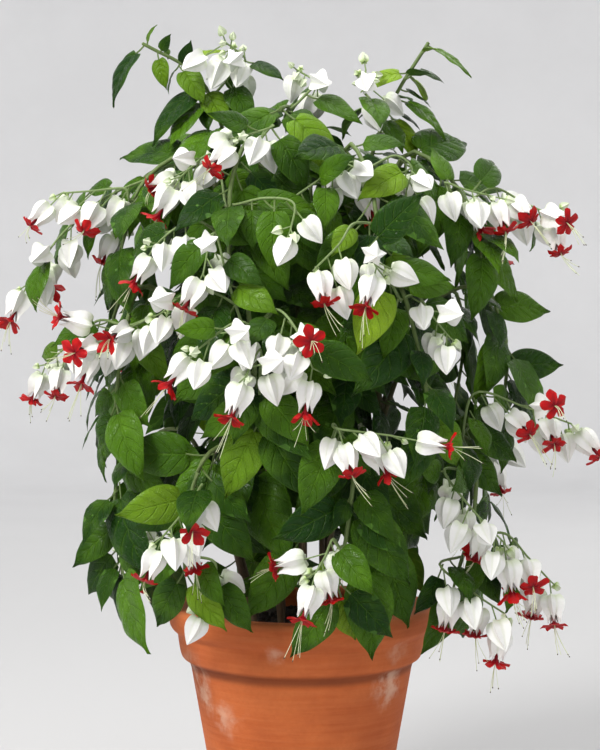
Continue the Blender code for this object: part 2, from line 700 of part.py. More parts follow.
def tube_object(name, path, radii, collection, finish=None):
    """A stem: a four-sided bevelled curve with filled ends, made a mesh and welded."""
    curve = bpy.data.curves.new(name, "CURVE")
    curve.dimensions = "3D"
    curve.bevel_depth = 1.0
    curve.bevel_resolution = 0
    curve.use_fill_caps = True
    line = curve.splines.new("POLY")
    line.points.add(len(path) - 1)
    for point, place, radius in zip(line.points, path, radii):
        point.co = (*place, 1.0)
        point.radius = radius
    rod = bpy.data.objects.new(name + "_line", curve)
    collection.objects.link(rod)
    evaluated = rod.evaluated_get(bpy.context.evaluated_depsgraph_get())
    mesh = bpy.data.meshes.new_from_object(evaluated)
    made = bpy.data.objects.new(name, mesh)
    made.matrix_world = rod.matrix_world
    bpy.data.objects.remove(rod, do_unlink=True)
    work = bmesh.new()
    work.from_mesh(mesh)
    bmesh.ops.remove_doubles(work, verts=work.verts, dist=0.00001)
    bmesh.ops.triangulate(work, faces=work.faces)
    bmesh.ops.recalc_face_normals(work, faces=work.faces)
    work.to_mesh(mesh)
    work.free()
    mesh.materials.clear()
    if finish:
        mesh.materials.append(finish)
    collection.objects.link(made)
    return made


def join_all(target, repeats):
    """Unites a node's repeats with its stem in one Boolean, and removes them."""
    modifier = target.modifiers.new("join", "BOOLEAN")
    modifier.operation = "UNION"
    modifier.solver = "MANIFOLD"
    modifier.operand_type = "COLLECTION"
    modifier.collection = repeats
    evaluated = target.evaluated_get(bpy.context.evaluated_depsgraph_get())
    mesh = bpy.data.meshes.new_from_object(evaluated)
    target.modifiers.clear()
    target.data = mesh
    for piece in list(repeats.objects):
        bpy.data.objects.remove(piece, do_unlink=True)
    bpy.data.collections.remove(repeats)


def repeats_for(name):
    made = bpy.data.collections.new(name + "_repeats")
    bpy.context.scene.collection.children.link(made)
    return made


def build_cane(name, shoots, leaves, parts, finish):
    path, radii = shoots[0]
    cane = tube_object(name, path, radii, parts, finish)
    repeats = repeats_for(name)
    for k, (path, radii) in enumerate(shoots[1:]):
        tube_object(f"{name}_shoot_{k}", path, radii, repeats)
    for k, leaf in enumerate(leaves):
        mesh_object(f"{name}_leaf_{k}", loft(leaf_rings(leaf, LEAF_THICKNESS), True), repeats)
    join_all(cane, repeats)
    return cane


def build_spray(spray, parts, finish):
    path = spray["path"]
    stalk = tube_object(spray["name"], path, [STALK_THICKNESS / 2] * len(path), parts, finish)
    repeats = repeats_for(spray["name"])
    for k, flower in enumerate(spray["flowers"]):
        mesh_object(f"{spray['name']}_flower_{k}", loft(flower_rings(flower)), repeats)
    join_all(stalk, repeats)
    return stalk


def lathe(name, profile, collection, finish):
    """A body turned about +Z. Its profile starts and ends on the axis and runs down the outer side."""
    mesh = bpy.data.meshes.new(name)
    edges = [(k, k + 1) for k in range(len(profile) - 1)]
    mesh.from_pydata([(radius, 0.0, height) for radius, height in profile], edges, [])
    mesh.materials.append(finish)
    made = bpy.data.objects.new(name, mesh)
    collection.objects.link(made)
    screw = made.modifiers.new("turn", "SCREW")
    screw.axis = "Z"
    screw.steps = POT_SIDES
    screw.render_steps = POT_SIDES
    screw.use_merge_vertices = True
    screw.merge_threshold = 0.00001
    return made


def upright_cutter(name, x, y, low, high, radius, collection):
    """A plain six-sided upright cutter."""
    mesh = bpy.data.meshes.new(name)
    work = bmesh.new()
    bmesh.ops.create_cone(work, cap_ends=True, segments=HOLE_SIDES, radius1=radius, radius2=radius,
                          depth=high - low)
    work.to_mesh(mesh)
    work.free()
    made = bpy.data.objects.new(name, mesh)
    made.location = (x, y, (low + high) / 2)
    made.hide_render = True
    made.display_type = "WIRE"
    collection.objects.link(made)
    return made


def cut(target, cutters):
    for cutter in cutters:
        modifier = target.modifiers.new(cutter.name, "BOOLEAN")
        modifier.operation = "DIFFERENCE"
        modifier.object = cutter


def inner_radius(height):
    """The inside's radius: the wall's own taper carried up into the lip."""
    share = height / (POT_HEIGHT - BAND_HEIGHT)
    return BASE_RADIUS + (NECK_RADIUS - BASE_RADIUS) * share - WALL


def build_pot(parts, cutters):
    """A tapered wall under a deep collar band and a rolled lip, with three drain holes in the floor."""
    clay = material("terracotta", (0.62, 0.24, 0.11), 0.85)
    band_low = POT_HEIGHT - BAND_HEIGHT
    lip_low = POT_HEIGHT - LIP_HEIGHT
    profile = [
        (0.0, FLOOR),
        (inner_radius(FLOOR), FLOOR),
        (inner_radius(POT_HEIGHT - EDGE_ROUND), POT_HEIGHT - EDGE_ROUND),
        (inner_radius(POT_HEIGHT) + EDGE_ROUND, POT_HEIGHT),
        (LIP_RADIUS - EDGE_ROUND, POT_HEIGHT),
        (LIP_RADIUS, POT_HEIGHT - EDGE_ROUND),
        (LIP_RADIUS, lip_low + EDGE_ROUND),
        (BAND_RADIUS, lip_low - EDGE_ROUND / 2),
        (BAND_RADIUS - EDGE_ROUND, band_low + 2 * EDGE_ROUND),
        (BAND_RADIUS - 2 * EDGE_ROUND, band_low),
        (NECK_RADIUS, band_low - EDGE_ROUND),
        (BASE_RADIUS, EDGE_ROUND),
        (BASE_RADIUS - EDGE_ROUND, 0.0),
        (0.0, 0.0),
    ]
    pot = lathe("pot", profile, parts, clay)
    drains = []
    for k in range(DRAIN_HOLES):
        x, y, _ = around(DRAIN_TURN + 360 * k / DRAIN_HOLES, DRAIN_CIRCLE, 0)
        drains.append(upright_cutter(f"drain_{k}", x, y, -FLOOR, 2 * FLOOR, DRAIN_RADIUS, cutters))
    cut(pot, drains)
    return pot


def build_soil(canes, parts, cutters):
    """Soil that fills the pot, a little higher in the middle, with a blind hole round each cane's foot."""
    earth = material("potting_soil", (0.05, 0.035, 0.025), 0.95)
    low = FLOOR + SEAT_GAP
    gap = SEAT_GAP / math.cos(math.pi / POT_SIDES)
    profile = [
        (0.0, SOIL_TOP + SOIL_CROWN),
        (0.6 * inner_radius(SOIL_TOP), SOIL_TOP + SOIL_CROWN),
        (inner_radius(SOIL_TOP) - gap, SOIL_TOP),
        (inner_radius(low) - gap, low),
        (0.0, low),
    ]
    soil = lathe("soil", profile, parts, earth)
    holes = []
    for name, shoots in canes.items():
        path, radii = shoots[0]
        x, y, z = path[0]
        radius = (radii[0] + SEAT_GAP) / math.cos(math.pi / HOLE_SIDES)
        holes.append(upright_cutter(f"hole_{name}", x, y, z - SEAT_GAP, POT_HEIGHT, radius, cutters))
    cut(soil, holes)
    return soil


def main():
    clear_scene()
    parts = bpy.data.collections.new("bleeding_heart_vine")
    cutters = bpy.data.collections.new("cutters")
    bpy.context.scene.collection.children.link(parts)
    bpy.context.scene.collection.children.link(cutters)
    canes, sprays, leaves = grow_plant(Growth())
    build_pot(parts, cutters)
    build_soil(canes, parts, cutters)
    foliage = material("leaf_green", (0.05, 0.17, 0.04), 0.42)
    petals = material("calyx_white", (0.86, 0.87, 0.80), 0.55)
    for name, shoots in canes.items():
        build_cane(name, shoots, leaves[name], parts, foliage)
    for spray in sprays:
        build_spray(spray, parts, petals)


main()
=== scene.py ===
"""Bleeding heart vine in a round terracotta pot: the looks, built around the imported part.

Metres, +Z up, front to -Y. The growth plan is the part's own, so each fine leaf and flower
stands where its plain solid does. More leaves are grown here in the room that is left.
"""

import math
import random

import bmesh
import bpy
import numpy as np
from mathutils.bvhtree import BVHTree
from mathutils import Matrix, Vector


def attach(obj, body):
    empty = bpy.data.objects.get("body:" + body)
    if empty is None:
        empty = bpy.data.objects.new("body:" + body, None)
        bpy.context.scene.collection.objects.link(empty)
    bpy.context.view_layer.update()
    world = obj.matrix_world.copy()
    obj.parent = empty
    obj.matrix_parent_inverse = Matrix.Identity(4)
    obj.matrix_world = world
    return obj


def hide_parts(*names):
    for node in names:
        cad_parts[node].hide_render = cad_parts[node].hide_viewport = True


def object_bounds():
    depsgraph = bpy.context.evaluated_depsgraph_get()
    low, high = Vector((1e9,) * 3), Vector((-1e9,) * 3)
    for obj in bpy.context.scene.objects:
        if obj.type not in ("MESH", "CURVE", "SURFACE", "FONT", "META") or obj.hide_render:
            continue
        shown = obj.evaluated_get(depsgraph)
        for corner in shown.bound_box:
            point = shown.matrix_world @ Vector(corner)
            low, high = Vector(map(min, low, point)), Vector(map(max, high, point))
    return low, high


bl_info = {
    "name": "Bleeding Heart Vine",
    "version": (1, 0, 0),
    "blender": (4, 5, 0),
    "location": "View3D > Sidebar > Vine",
    "description": "Leaves, flowers, stems, soil and clay of a potted bleeding heart vine",
    "category": "Object",
}

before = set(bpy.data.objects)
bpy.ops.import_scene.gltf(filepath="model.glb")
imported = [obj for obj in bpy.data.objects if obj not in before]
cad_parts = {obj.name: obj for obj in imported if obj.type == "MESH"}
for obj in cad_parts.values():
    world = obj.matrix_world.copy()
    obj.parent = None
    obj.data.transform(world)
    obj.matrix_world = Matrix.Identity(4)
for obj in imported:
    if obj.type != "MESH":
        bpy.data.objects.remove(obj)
CAD_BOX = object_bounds()

# Pot, from the base up
POT_HEIGHT = 0.200
BASE_RADIUS = 0.065
LIP_RADIUS = 0.110
LIP_HEIGHT = 0.019
BAND_RADIUS = 0.1025
BAND_HEIGHT = 0.044
NECK_RADIUS = 0.0925
WALL = 0.009
FLOOR = 0.012
POT_SIDES = 24
DRAIN_RADIUS = 0.006
DRAIN_CIRCLE = 0.034
DRAIN_HOLES = 3
DRAIN_TURN = 30.0
EDGE_ROUND = 0.0025

# Soil
SOIL_TOP = 0.183
SOIL_CROWN = 0.003
ROOT_DEPTH = 0.035
SEAT_GAP = 0.0003

# Canes and shoots: (distance from the pot's axis, height) of the points that each route passes
RING_CANES = 8
RING_RADIUS = 0.042
RING_TURN = 22.5
LEADER = ((0.050, 0.225), (0.062, 0.262), (0.070, 0.350), (0.062, 0.460))
HIGH_SHOOT = ((0.076, 0.545), (0.102, 0.573), (0.134, 0.545), (0.150, 0.487))
MIDDLE_SHOOT = ((0.070, 0.350), (0.104, 0.440), (0.140, 0.468), (0.164, 0.428), (0.170, 0.366))
LOW_SHOOT = ((0.062, 0.262), (0.100, 0.330), (0.138, 0.345), (0.158, 0.302), (0.152, 0.240))
MIDDLE_TURN = 12.0
LOW_TURN = -12.0
ROUTE_SPREAD = 0.006
ROUTE_START = 0.2
HIGH_TURN = 4.0
COLLAR_RISE = 0.006
TRUNK_POINTS = 10
SHOOT_POINTS = 6
CANE_THICKNESS = 0.0062
SHOOT_THICKNESS = 0.0042
TIP_THICKNESS = 0.0030

# Crown canes: (x, y, z) of the points that each passes above its root
CROWN = {
    "crown_left": ((-0.016, 0.002, 0.30), (-0.030, 0.0, 0.47), (-0.062, -0.004, 0.585),
                   (-0.084, -0.006, 0.635), (-0.106, -0.010, 0.659), (-0.130, -0.014, 0.662)),
    "crown_right": ((0.018, 0.004, 0.30), (0.034, 0.0, 0.45), (0.056, -0.006, 0.565),
                    (0.076, -0.008, 0.618), (0.090, -0.010, 0.642), (0.104, -0.012, 0.663)),
    "crown_front": ((0.002, -0.018, 0.30), (-0.004, -0.020, 0.47), (-0.006, -0.030, 0.575),
                    (-0.012, -0.056, 0.612), (-0.016, -0.088, 0.600)),
    "crown_back": ((0.0, 0.018, 0.30), (0.004, 0.022, 0.47), (0.010, 0.034, 0.580),
                   (0.014, 0.062, 0.612), (0.016, 0.094, 0.596)),
}
CROWN_THICKNESS = 0.0050

# Leaves
LEAF_LENGTH = 0.073
LEAF_WIDTH = 0.57
LEAF_THICKNESS = 0.0014
PETIOLE_LENGTH = 0.012
PETIOLE_SPREAD = (0.8, 1.5)
PETIOLE_MOST = 0.25
PETIOLE_LEAST = 0.10
PETIOLE_THICKNESS = 0.0010
TRIANGLE = ((-1.0, 0.0), (0.5, 0.87), (0.5, -0.87))
TRIANGLE_SHARE = 0.6
LEAF_SIZES = (0.84, 1.10)
LEAF_CURLS = (0.35, 0.85)
LEAF_FOLDS = (0.10, 0.30)
PLACED_CURL = 0.40
PLACED_FOLD = 0.16
LEAF_DROOP = 1.2
LEAF_DROOP_LOSS = 0.15
LEAF_LIFT = 0.22
LEAF_STRAY = 0.10
CHOSEN_STRAY = 0.02
STRAY_GROWTH = 0.055
UPPER_STRAY = 0.12
LATE_TRY = 9
LATE_SIZE = 0.82

# Nodes along a shoot: the last one's distance from the tip, the steps between them, the share
# of the full length of the youngest leaves, and the shares of side, out and run in a leaf's heading
TIP_INSET = 0.002
LEAF_STEP = 0.034
STEP_SHARES = (0.86, 0.06)
LEAF_NODES = 5
YOUNG_SHARES = (0.74, 0.13)
PAIR_HEADING = (0.80, 0.30)
OUTER_HEADING = (0.55, 0.75)

# Free crown shoots: each outer leaf's distance from the tip, heading and length
CROWN_LEAVES = {
    "crown_left": ((0.002, (-0.68, -0.10, -0.73), 0.050), (0.004, (0.20, -0.30, 0.90), 0.016),
                   (0.014, (0.20, -0.35, -0.90), 0.027), (0.024, (-0.10, 0.20, 1.00), 0.015),
                   (0.034, (0.40, -0.35, -0.80), 0.038), (0.034, (0.85, 0.20, 0.45), 0.034),
                   (0.062, (-0.55, -0.20, -0.85), 0.058), (0.062, (0.35, -0.65, -0.60), 0.040)),
    "crown_right": ((0.002, (0.85, -0.10, -0.50), 0.037), (0.003, (-0.30, 0.10, 0.90), 0.014),
                    (0.010, (0.40, -0.60, 0.20), 0.018), (0.028, (-0.85, -0.15, -0.40), 0.037),
                    (0.030, (0.50, 0.70, -0.30), 0.034), (0.052, (0.90, -0.15, -0.40), 0.046),
                    (0.052, (-0.88, 0.20, -0.40), 0.032), (0.066, (0.55, -0.45, -0.65), 0.044)),
}

# Leaves that hang free at the edge of the plant: base and tip of the blade, and its length
PLACED_LEAVES = (
    ((-0.106, -0.086, 0.248), (-0.129, -0.106, 0.178), 0.075),
    ((0.038, -0.105, 0.230), (0.056, -0.142, 0.176), 0.068),
    ((-0.161, -0.030, 0.288), (-0.191, -0.034, 0.236), 0.062),
    ((-0.129, -0.050, 0.309), (-0.144, -0.056, 0.251), 0.062),
    ((-0.099, -0.080, 0.390), (-0.156, -0.084, 0.326), 0.085),
    ((0.168, -0.020, 0.497), (0.208, -0.026, 0.447), 0.064),
    ((0.178, -0.020, 0.451), (0.218, -0.026, 0.402), 0.064),
    ((0.134, -0.060, 0.348), (0.164, -0.066, 0.296), 0.062),
    ((-0.084, -0.030, 0.622), (-0.113, -0.036, 0.580), 0.052),
    ((0.024, -0.165, 0.512), (0.023, -0.178, 0.484), 0.032),
    ((0.060, -0.090, 0.250), (0.084, -0.118, 0.196), 0.066),
    ((-0.030, -0.100, 0.260), (-0.040, -0.128, 0.204), 0.060),
)

# Each station of a blade or calyx: its share of the length and of the full half width
LEAF_STATIONS = ((0.24, 0.94), (0.62, 0.74), (1.0, 0.0))
CLOSED_STATIONS = ((0.17, 0.95), (0.56, 0.78))
OPEN_STATIONS = ((0.22, 1.0), (0.86, 0.30))

# Flowers
CALYX_LENGTH = 0.0240
CALYX_RADIUS = 0.0094
COROLLA_RADIUS = 0.0112
STAR_WAIST = 0.36
STAR_FALL = 0.16
STAR_BOSS = 0.0024
FLOWER_SIZES = (0.90, 1.05)
FLOWER_SPIN = 1.2
FLOWER_STRAY = (0.10, 0.028)
STALK_THICKNESS = 0.0024
PEDICEL_THICKNESS = 0.0010
PEDICEL_LENGTHS = (0.004, 0.013)
PEDICEL_STRETCH = 0.03

# A flower's wish: the shares of aside, outwards and along its stalk that go with straight down
ASIDE = 0.34
OUTWARDS = 0.30
ONWARDS = 0.10

# A spray's stalk: how far it leaves its stem squarely, its rise on the way, and its points
STALK_KNEE = 0.006
STALK_RISE = 0.006
STALK_BOW = 0.004
STALK_POINTS = 4
END_INSET = 0.0008
SEAT_SHARES = (0.3, 0.7)
SEAT_STEP = 2

# The canopy's middle and half sizes, which say which way is outwards
CANOPY_MIDDLE = 0.400
CANOPY_HALF = (0.19, 0.19, 0.24)

# How strongly leaves turn to the sky and to the light in front, which fades towards the back
SKY_PULL = 0.35
FRONT_PULL = 0.80
FRONT_SHARE = 0.70
FRONT_REACH = 0.15

# Sprays: where the flowers start and end, the number of calyces and how many have opened
SPRAYS = {
    "spray_crown_left": ((-0.043, -0.012, 0.646), (-0.062, -0.020, 0.662), 6, 0),
    "spray_crown_middle": ((0.020, -0.040, 0.622), (-0.004, -0.044, 0.636), 4, 0),
    "spray_crown_right": ((0.050, -0.030, 0.618), (0.052, -0.032, 0.638), 3, 0),
    "spray_upper_middle": ((-0.014, -0.118, 0.584), (-0.044, -0.122, 0.574), 5, 1),
    "spray_upper_left": ((-0.064, -0.105, 0.566), (-0.092, -0.115, 0.544), 6, 3),
    "spray_left_high": ((-0.138, -0.062, 0.540), (-0.190, -0.062, 0.536), 7, 3),
    "spray_left_far": ((-0.188, -0.035, 0.512), (-0.222, -0.035, 0.464), 7, 2),
    "spray_left_low": ((-0.118, -0.100, 0.436), (-0.160, -0.096, 0.416), 7, 4),
    "spray_left_tail": ((-0.160, -0.066, 0.436), (-0.204, -0.058, 0.400), 6, 3),
    "spray_left_middle": ((-0.084, -0.150, 0.456), (-0.104, -0.150, 0.440), 4, 0),
    "spray_left_inner": ((-0.088, -0.142, 0.508), (-0.110, -0.140, 0.490), 4, 1),
    "spray_left_front": ((-0.066, -0.160, 0.502), (-0.072, -0.168, 0.468), 4, 1),
    "spray_front_left": ((-0.036, -0.192, 0.440), (-0.074, -0.190, 0.414), 6, 1),
    "spray_front_low": ((-0.030, -0.200, 0.414), (-0.040, -0.204, 0.394), 4, 1),
    "spray_front_right": ((-0.010, -0.196, 0.440), (0.008, -0.204, 0.400), 6, 2),
    "spray_front_high": ((-0.001, -0.172, 0.516), (-0.008, -0.176, 0.500), 2, 0),
    "spray_centre": ((0.026, -0.182, 0.488), (0.010, -0.188, 0.472), 3, 1),
    "spray_centre_right": ((0.044, -0.182, 0.490), (0.054, -0.188, 0.472), 4, 1),
    "spray_top_right": ((0.056, -0.112, 0.566), (0.042, -0.114, 0.546), 5, 1),
    "spray_top_far": ((0.084, -0.106, 0.556), (0.080, -0.112, 0.534), 4, 1),
    "spray_right_high": ((0.110, -0.080, 0.542), (0.150, -0.078, 0.532), 6, 2),
    "spray_right_tail": ((0.156, -0.050, 0.540), (0.198, -0.050, 0.520), 6, 3),
    "spray_right_middle": ((0.088, -0.148, 0.450), (0.108, -0.150, 0.424), 4, 0),
    "spray_low_middle": ((0.018, -0.194, 0.358), (0.064, -0.194, 0.352), 6, 3),
    "spray_right": ((0.142, -0.080, 0.378), (0.212, -0.078, 0.354), 8, 4),
    "spray_right_low": ((0.110, -0.118, 0.314), (0.154, -0.120, 0.266), 8, 3),
    "spray_right_trail": ((0.158, -0.090, 0.270), (0.194, -0.090, 0.232), 6, 4),
    "spray_rim_right": ((0.108, -0.116, 0.244), (0.156, -0.112, 0.210), 6, 3),
    "spray_bottom_left": ((-0.074, -0.166, 0.310), (-0.102, -0.166, 0.276), 6, 3),
    "spray_rim_left": ((-0.064, -0.134, 0.244), (-0.073, -0.136, 0.222), 2, 0),
    "spray_bottom_middle": ((0.022, -0.166, 0.270), (0.010, -0.172, 0.250), 4, 3),
}
BACK_SPRAYS = 9
BACK_TURNS = (82.0, 278.0)
BACK_HEIGHTS = (0.53, 0.34, 0.44, 0.26)
BACK_REACH = 0.186
BACK_TAPER = 0.35
BACK_SWEEP = (-3.0, 6.0)
BACK_DROPS = (0.012, -0.020)
BACK_OUT = 0.012
BACK_CALYCES = 4
BACK_OPENED = 1

# Growth: the room kept between pieces, the first stretch of a stalk that may touch its own node,
# and how many turns a piece is tried in
SEED = 17
CLEARANCE = 0.0009
GUARD_CORNER = 1.3
STEM_SKIN = 0.0004
STALK_SKIN = 0.0002
LEAF_GUARD = 0.0046
LEAF_GUARD_SHARE = 0.8
LEAF_MARGIN = 1.05
FLOWER_GUARD = 0.003
FOOT_GUARD = 0.0018
LEAF_TRIES = 14
FLOWER_TRIES = 44
PLACE_TRIES = 24
SEAT_TRIES = 80
MOST_PIECES = 6000
POT_ROOM = 0.002
POT_MARGIN = 1.02
DOWN = np.array([0.0, 0.0, -1.0])


def unit(vector):
    """A vector of length one the same way."""
    return vector / np.linalg.norm(vector)


def around(azimuth, radius, height):
    """A point by its turn from the front, its distance from the pot's axis and its height."""
    turn = math.radians(azimuth)
    return np.array([radius * math.sin(turn), -radius * math.cos(turn), height])


def outward(point):
    """The way out of the canopy at a point, square to an ellipsoid through it."""
    offset = point - np.array([0.0, 0.0, CANOPY_MIDDLE])
    return unit(offset / np.square(CANOPY_HALF))


def lightward(point):
    """Which way a leaf's upper side turns: outwards, up, and to the light in front."""
    share = min(1.0, max(0.0, FRONT_SHARE - point[1] / FRONT_REACH))
    return outward(point) + np.array([0.0, -FRONT_PULL * share, SKY_PULL])


def spline(knots, count):
    """Evenly spread points on a smooth curve through the knots."""
    knots = np.asarray(knots, float)
    ends = np.vstack([2 * knots[0] - knots[1], knots, 2 * knots[-1] - knots[-2]])
    steps = np.linspace(0, 1, 12, endpoint=False)[:, None]
    pieces = []
    for a, b, c, d in zip(ends, ends[1:], ends[2:], ends[3:]):
        bend = 2 * a - 5 * b + 4 * c - d
        twist = 3 * b - a - 3 * c + d
        pieces.append(0.5 * (2 * b + (c - a) * steps + bend * steps**2 + twist * steps**3))
    fine = np.vstack(pieces + [knots[-1:]])
    run = np.concatenate([[0], np.cumsum(np.linalg.norm(np.diff(fine, axis=0), axis=1))])
    wanted = np.linspace(0, run[-1], count)
    return np.column_stack([np.interp(wanted, run, fine[:, k]) for k in range(3)])


def along(path, distance):
    """The point at a distance from the path's end, and the path's direction there."""
    for end, start in zip(path[::-1], path[-2::-1]):
        step = np.linalg.norm(end - start)
        if distance <= step:
            break
        distance -= step
    direction = unit(end - start)
    return end - direction * min(distance, step), direction


def loft(rings, zigzag=False):
    """Points and triangles of a closed skin over rings of points. A single point closes an end.

    The band between two rings is made by walking round both together. A zigzag band turns every
    second diagonal, so that both faces of a blade are split alike.
    """
    rings = [np.atleast_2d(ring) for ring in rings]
    starts = np.cumsum([0] + [len(ring) for ring in rings])
    faces = []
    for here, there, near, far in zip(starts, starts[1:], map(len, rings), map(len, rings[1:])):
        i = near if near == 1 else 0
        j = far if far == 1 else 0
        while i < near or j < far:
            later = (i + 0.5) / near - (j + 0.5) / far
            if abs(later) < 0.01:
                later = 0.01 if not (zigzag and i % 2) else -0.01
            if j < far and (i == near or later > 0):
                faces.append((here + i % near, there + (j + 1) % far, there + j))
                j += 1
            else:
                faces.append((here + i, here + (i + 1) % near, there + j % far))
                i += 1
    if len(rings[0]) > 1:
        faces += [(0, k + 1, k) for k in range(1, len(rings[0]) - 1)]
    if len(rings[-1]) > 1:
        last = starts[-2]
        faces += [(last, last + k, last + k + 1) for k in range(1, len(rings[-1]) - 1)]
    return np.vstack(rings), faces


def ring_about(middle, direction, radius, sides, turn=0.0):
    """A regular ring of points square to a direction."""
    side = unit(np.cross(direction, (0.31, 0.27, 0.91)))
    rise = np.cross(direction, side)
    angles = turn + 2 * math.pi * np.arange(sides) / sides
    return middle + radius * (np.outer(np.cos(angles), side) + np.outer(np.sin(angles), rise))


def tube_guard(path, radius):
    """A plain four-sided tube that fills the room of a stem, for keeping other pieces off it."""
    rings = []
    for k, point in enumerate(path):
        direction = unit(path[min(k + 1, len(path) - 1)] - path[max(k - 1, 0)])
        rings.append(ring_about(point, direction, radius * GUARD_CORNER, 4))
    return loft(rings)


def leaf_rings(leaf, thickness, grow=1.0, start=0.0):
    """Sections of a leaf: a three-sided stalk, then left margin, top, right margin and underside.

    The midrib is an arc that bends away from the upper side. The blade is folded up along it.
    """
    heading = leaf["heading"]
    upper = leaf["upper"]
    side = np.cross(heading, upper)
    length = leaf["length"]
    half = 0.5 * LEAF_WIDTH * length * grow
    stalk = TRIANGLE_SHARE * (PETIOLE_THICKNESS + thickness - LEAF_THICKNESS)
    base = leaf["root"] + heading * leaf["stalk"]
    rings = []
    for middle in (leaf["root"] + heading * start, base):
        rings.append(np.array([middle + (across * side + up * upper) * stalk for across, up in TRIANGLE]))
    for share, width in LEAF_STATIONS:
        angle = leaf["curl"] * share
        middle = base + length / leaf["curl"] * (math.sin(angle) * heading - (1 - math.cos(angle)) * upper)
        if width == 0:
            rings.append(middle)
            continue
        normal = math.cos(angle) * upper + math.sin(angle) * heading
        out = half * width * math.cos(leaf["fold"])
        lift = half * width * math.sin(leaf["fold"])
        rings.append(np.array([middle - side * out + normal * lift, middle + normal * thickness / 2,
                               middle + side * out + normal * lift, middle - normal * thickness / 2]))
    return rings


def flower_rings(flower, grow=0.0, start=0.0):
    """Sections of a flower: a three-sided stalk and a five-angled calyx with wide shoulders.

    A closed calyx ends in a point. An open one ends in a neck and the red five-lobed star.
    """
    axis = flower["axis"]
    turn = flower["turn"]
    size = flower["size"]
    top = flower["root"] + axis * flower["stalk"]
    thin = TRIANGLE_SHARE * PEDICEL_THICKNESS + grow
    rings = [ring_about(flower["root"] + axis * start, axis, thin, 3, turn),
             ring_about(top - axis * grow, axis, thin, 3, turn)]
    stations = OPEN_STATIONS if flower["opened"] else CLOSED_STATIONS
    for share, width in stations:
        middle = top + axis * (CALYX_LENGTH * size * share)
        rings.append(ring_about(middle, axis, CALYX_RADIUS * size * width + grow, 5, turn))
    tip = top + axis * (CALYX_LENGTH * size)
    if flower["opened"]:
        star = ring_about(tip, axis, 1.0, 10, turn) - tip
        lobes = np.arange(10)[:, None] % 2 == 0
        reach = np.where(lobes, 1.0, STAR_WAIST) * COROLLA_RADIUS * size + grow
        back = np.where(lobes, STAR_FALL, 0.0) * COROLLA_RADIUS * axis
        rings.append(tip + star * reach - back)
        rings.append(tip + axis * (STAR_BOSS + grow))
    else:
        rings.append(tip + axis * grow)
    return rings


class Growth:
    """What has grown so far, as small search trees, so that each new piece is set clear of it."""

    def __init__(self):
        self.trees = []
        self.owners = []
        self.lows = np.zeros((MOST_PIECES, 3))
        self.highs = np.zeros((MOST_PIECES, 3))

    def add(self, shape, owner):
        points, faces = shape
        number = len(self.trees)
        self.lows[number] = points.min(axis=0)
        self.highs[number] = points.max(axis=0)
        self.trees.append(BVHTree.FromPolygons(points.tolist(), faces))
        self.owners.append(owner)

    def hits(self, shape, spare=None):
        """How many placed pieces a shape crosses, leaving out those of one owner."""
        points, faces = shape
        number = len(self.trees)
        apart = self.lows[:number] > points.max(axis=0)
        apart |= self.highs[:number] < points.min(axis=0)
        near = [k for k in np.flatnonzero(~apart.any(axis=1)) if self.owners[k] != spare]
        if not near:
            return 0
        tree = BVHTree.FromPolygons(points.tolist(), faces)
        return sum(bool(tree.overlap(self.trees[k])) for k in near)

    def is_clear(self, rings, form, start, owner):
        """Whether a piece clears its own node from a little way out, and all others from its root."""
        if self.hits(loft(rings(*form, start), True)):
            return False
        return not self.hits(loft(rings(*form, 0.0), True), owner)

    def takes_leaf(self, leaf, owner):
        """Adds a leaf if it is clear."""
        start = min(LEAF_GUARD, LEAF_GUARD_SHARE * leaf["stalk"])
        if not self.is_clear(leaf_rings, (leaf, LEAF_THICKNESS + 2 * CLEARANCE, LEAF_MARGIN), start, owner):
            return False
        self.add(loft(leaf_rings(leaf, LEAF_THICKNESS, 1.0, start), True), owner)
        return True


def stem_radii(count, thick, thin):
    """Radii that shrink evenly from a thick foot to a thin tip."""
    return np.linspace(thick, thin, count) / 2


def make_stems(growth):
    """Routes of all canes: name, and for each shoot of it the path, radii and whether it bears leaves."""
    rng = random.Random(SEED)
    canes = {}
    for k in range(RING_CANES):
        azimuth = RING_TURN + 360.0 * k / RING_CANES
        root = around(azimuth, RING_RADIUS, SOIL_TOP - ROOT_DEPTH)
        collar = around(azimuth, RING_RADIUS, SOIL_TOP + COLLAR_RISE)

        def turned(route, turn):
            knots = []
            for share, (radius, height) in zip(np.linspace(ROUTE_START, 1, len(route)), route):
                shift = share * rng.uniform(-1, 1) * ROUTE_SPREAD
                knots.append(around(azimuth + turn * share, radius + shift, height + shift))
            return knots

        leader = [around(azimuth, radius, height) for radius, height in LEADER]
        high = turned(HIGH_SHOOT, rng.uniform(-HIGH_TURN, HIGH_TURN))
        trunk = np.vstack([root, spline([collar] + leader + high, TRUNK_POINTS)])
        low = spline([leader[1]] + turned(LOW_SHOOT[1:], LOW_TURN), SHOOT_POINTS)
        middle = spline([leader[2]] + turned(MIDDLE_SHOOT[1:], MIDDLE_TURN), SHOOT_POINTS)
        canes[f"cane_{k + 1}"] = [
            (trunk, stem_radii(len(trunk), CANE_THICKNESS, TIP_THICKNESS)),
            (middle, stem_radii(len(middle), SHOOT_THICKNESS, TIP_THICKNESS)),
            (low, stem_radii(len(low), SHOOT_THICKNESS, TIP_THICKNESS)),
        ]
    for name, knots in CROWN.items():
        foot = np.array([knots[0][0], knots[0][1], 0.0])
        root = foot + (0, 0, SOIL_TOP - ROOT_DEPTH)
        collar = foot + (0, 0, SOIL_TOP + COLLAR_RISE)
        path = np.vstack([root, spline([collar, *knots], TRUNK_POINTS)])
        canes[name] = [(path, stem_radii(len(path), CROWN_THICKNESS, TIP_THICKNESS))]
    for name, shoots in canes.items():
        for path, radii in shoots:
            for a, b, radius in zip(path, path[1:], radii):
                growth.add(tube_guard(np.array([a, b]), radius + STEM_SKIN), name)
    return canes


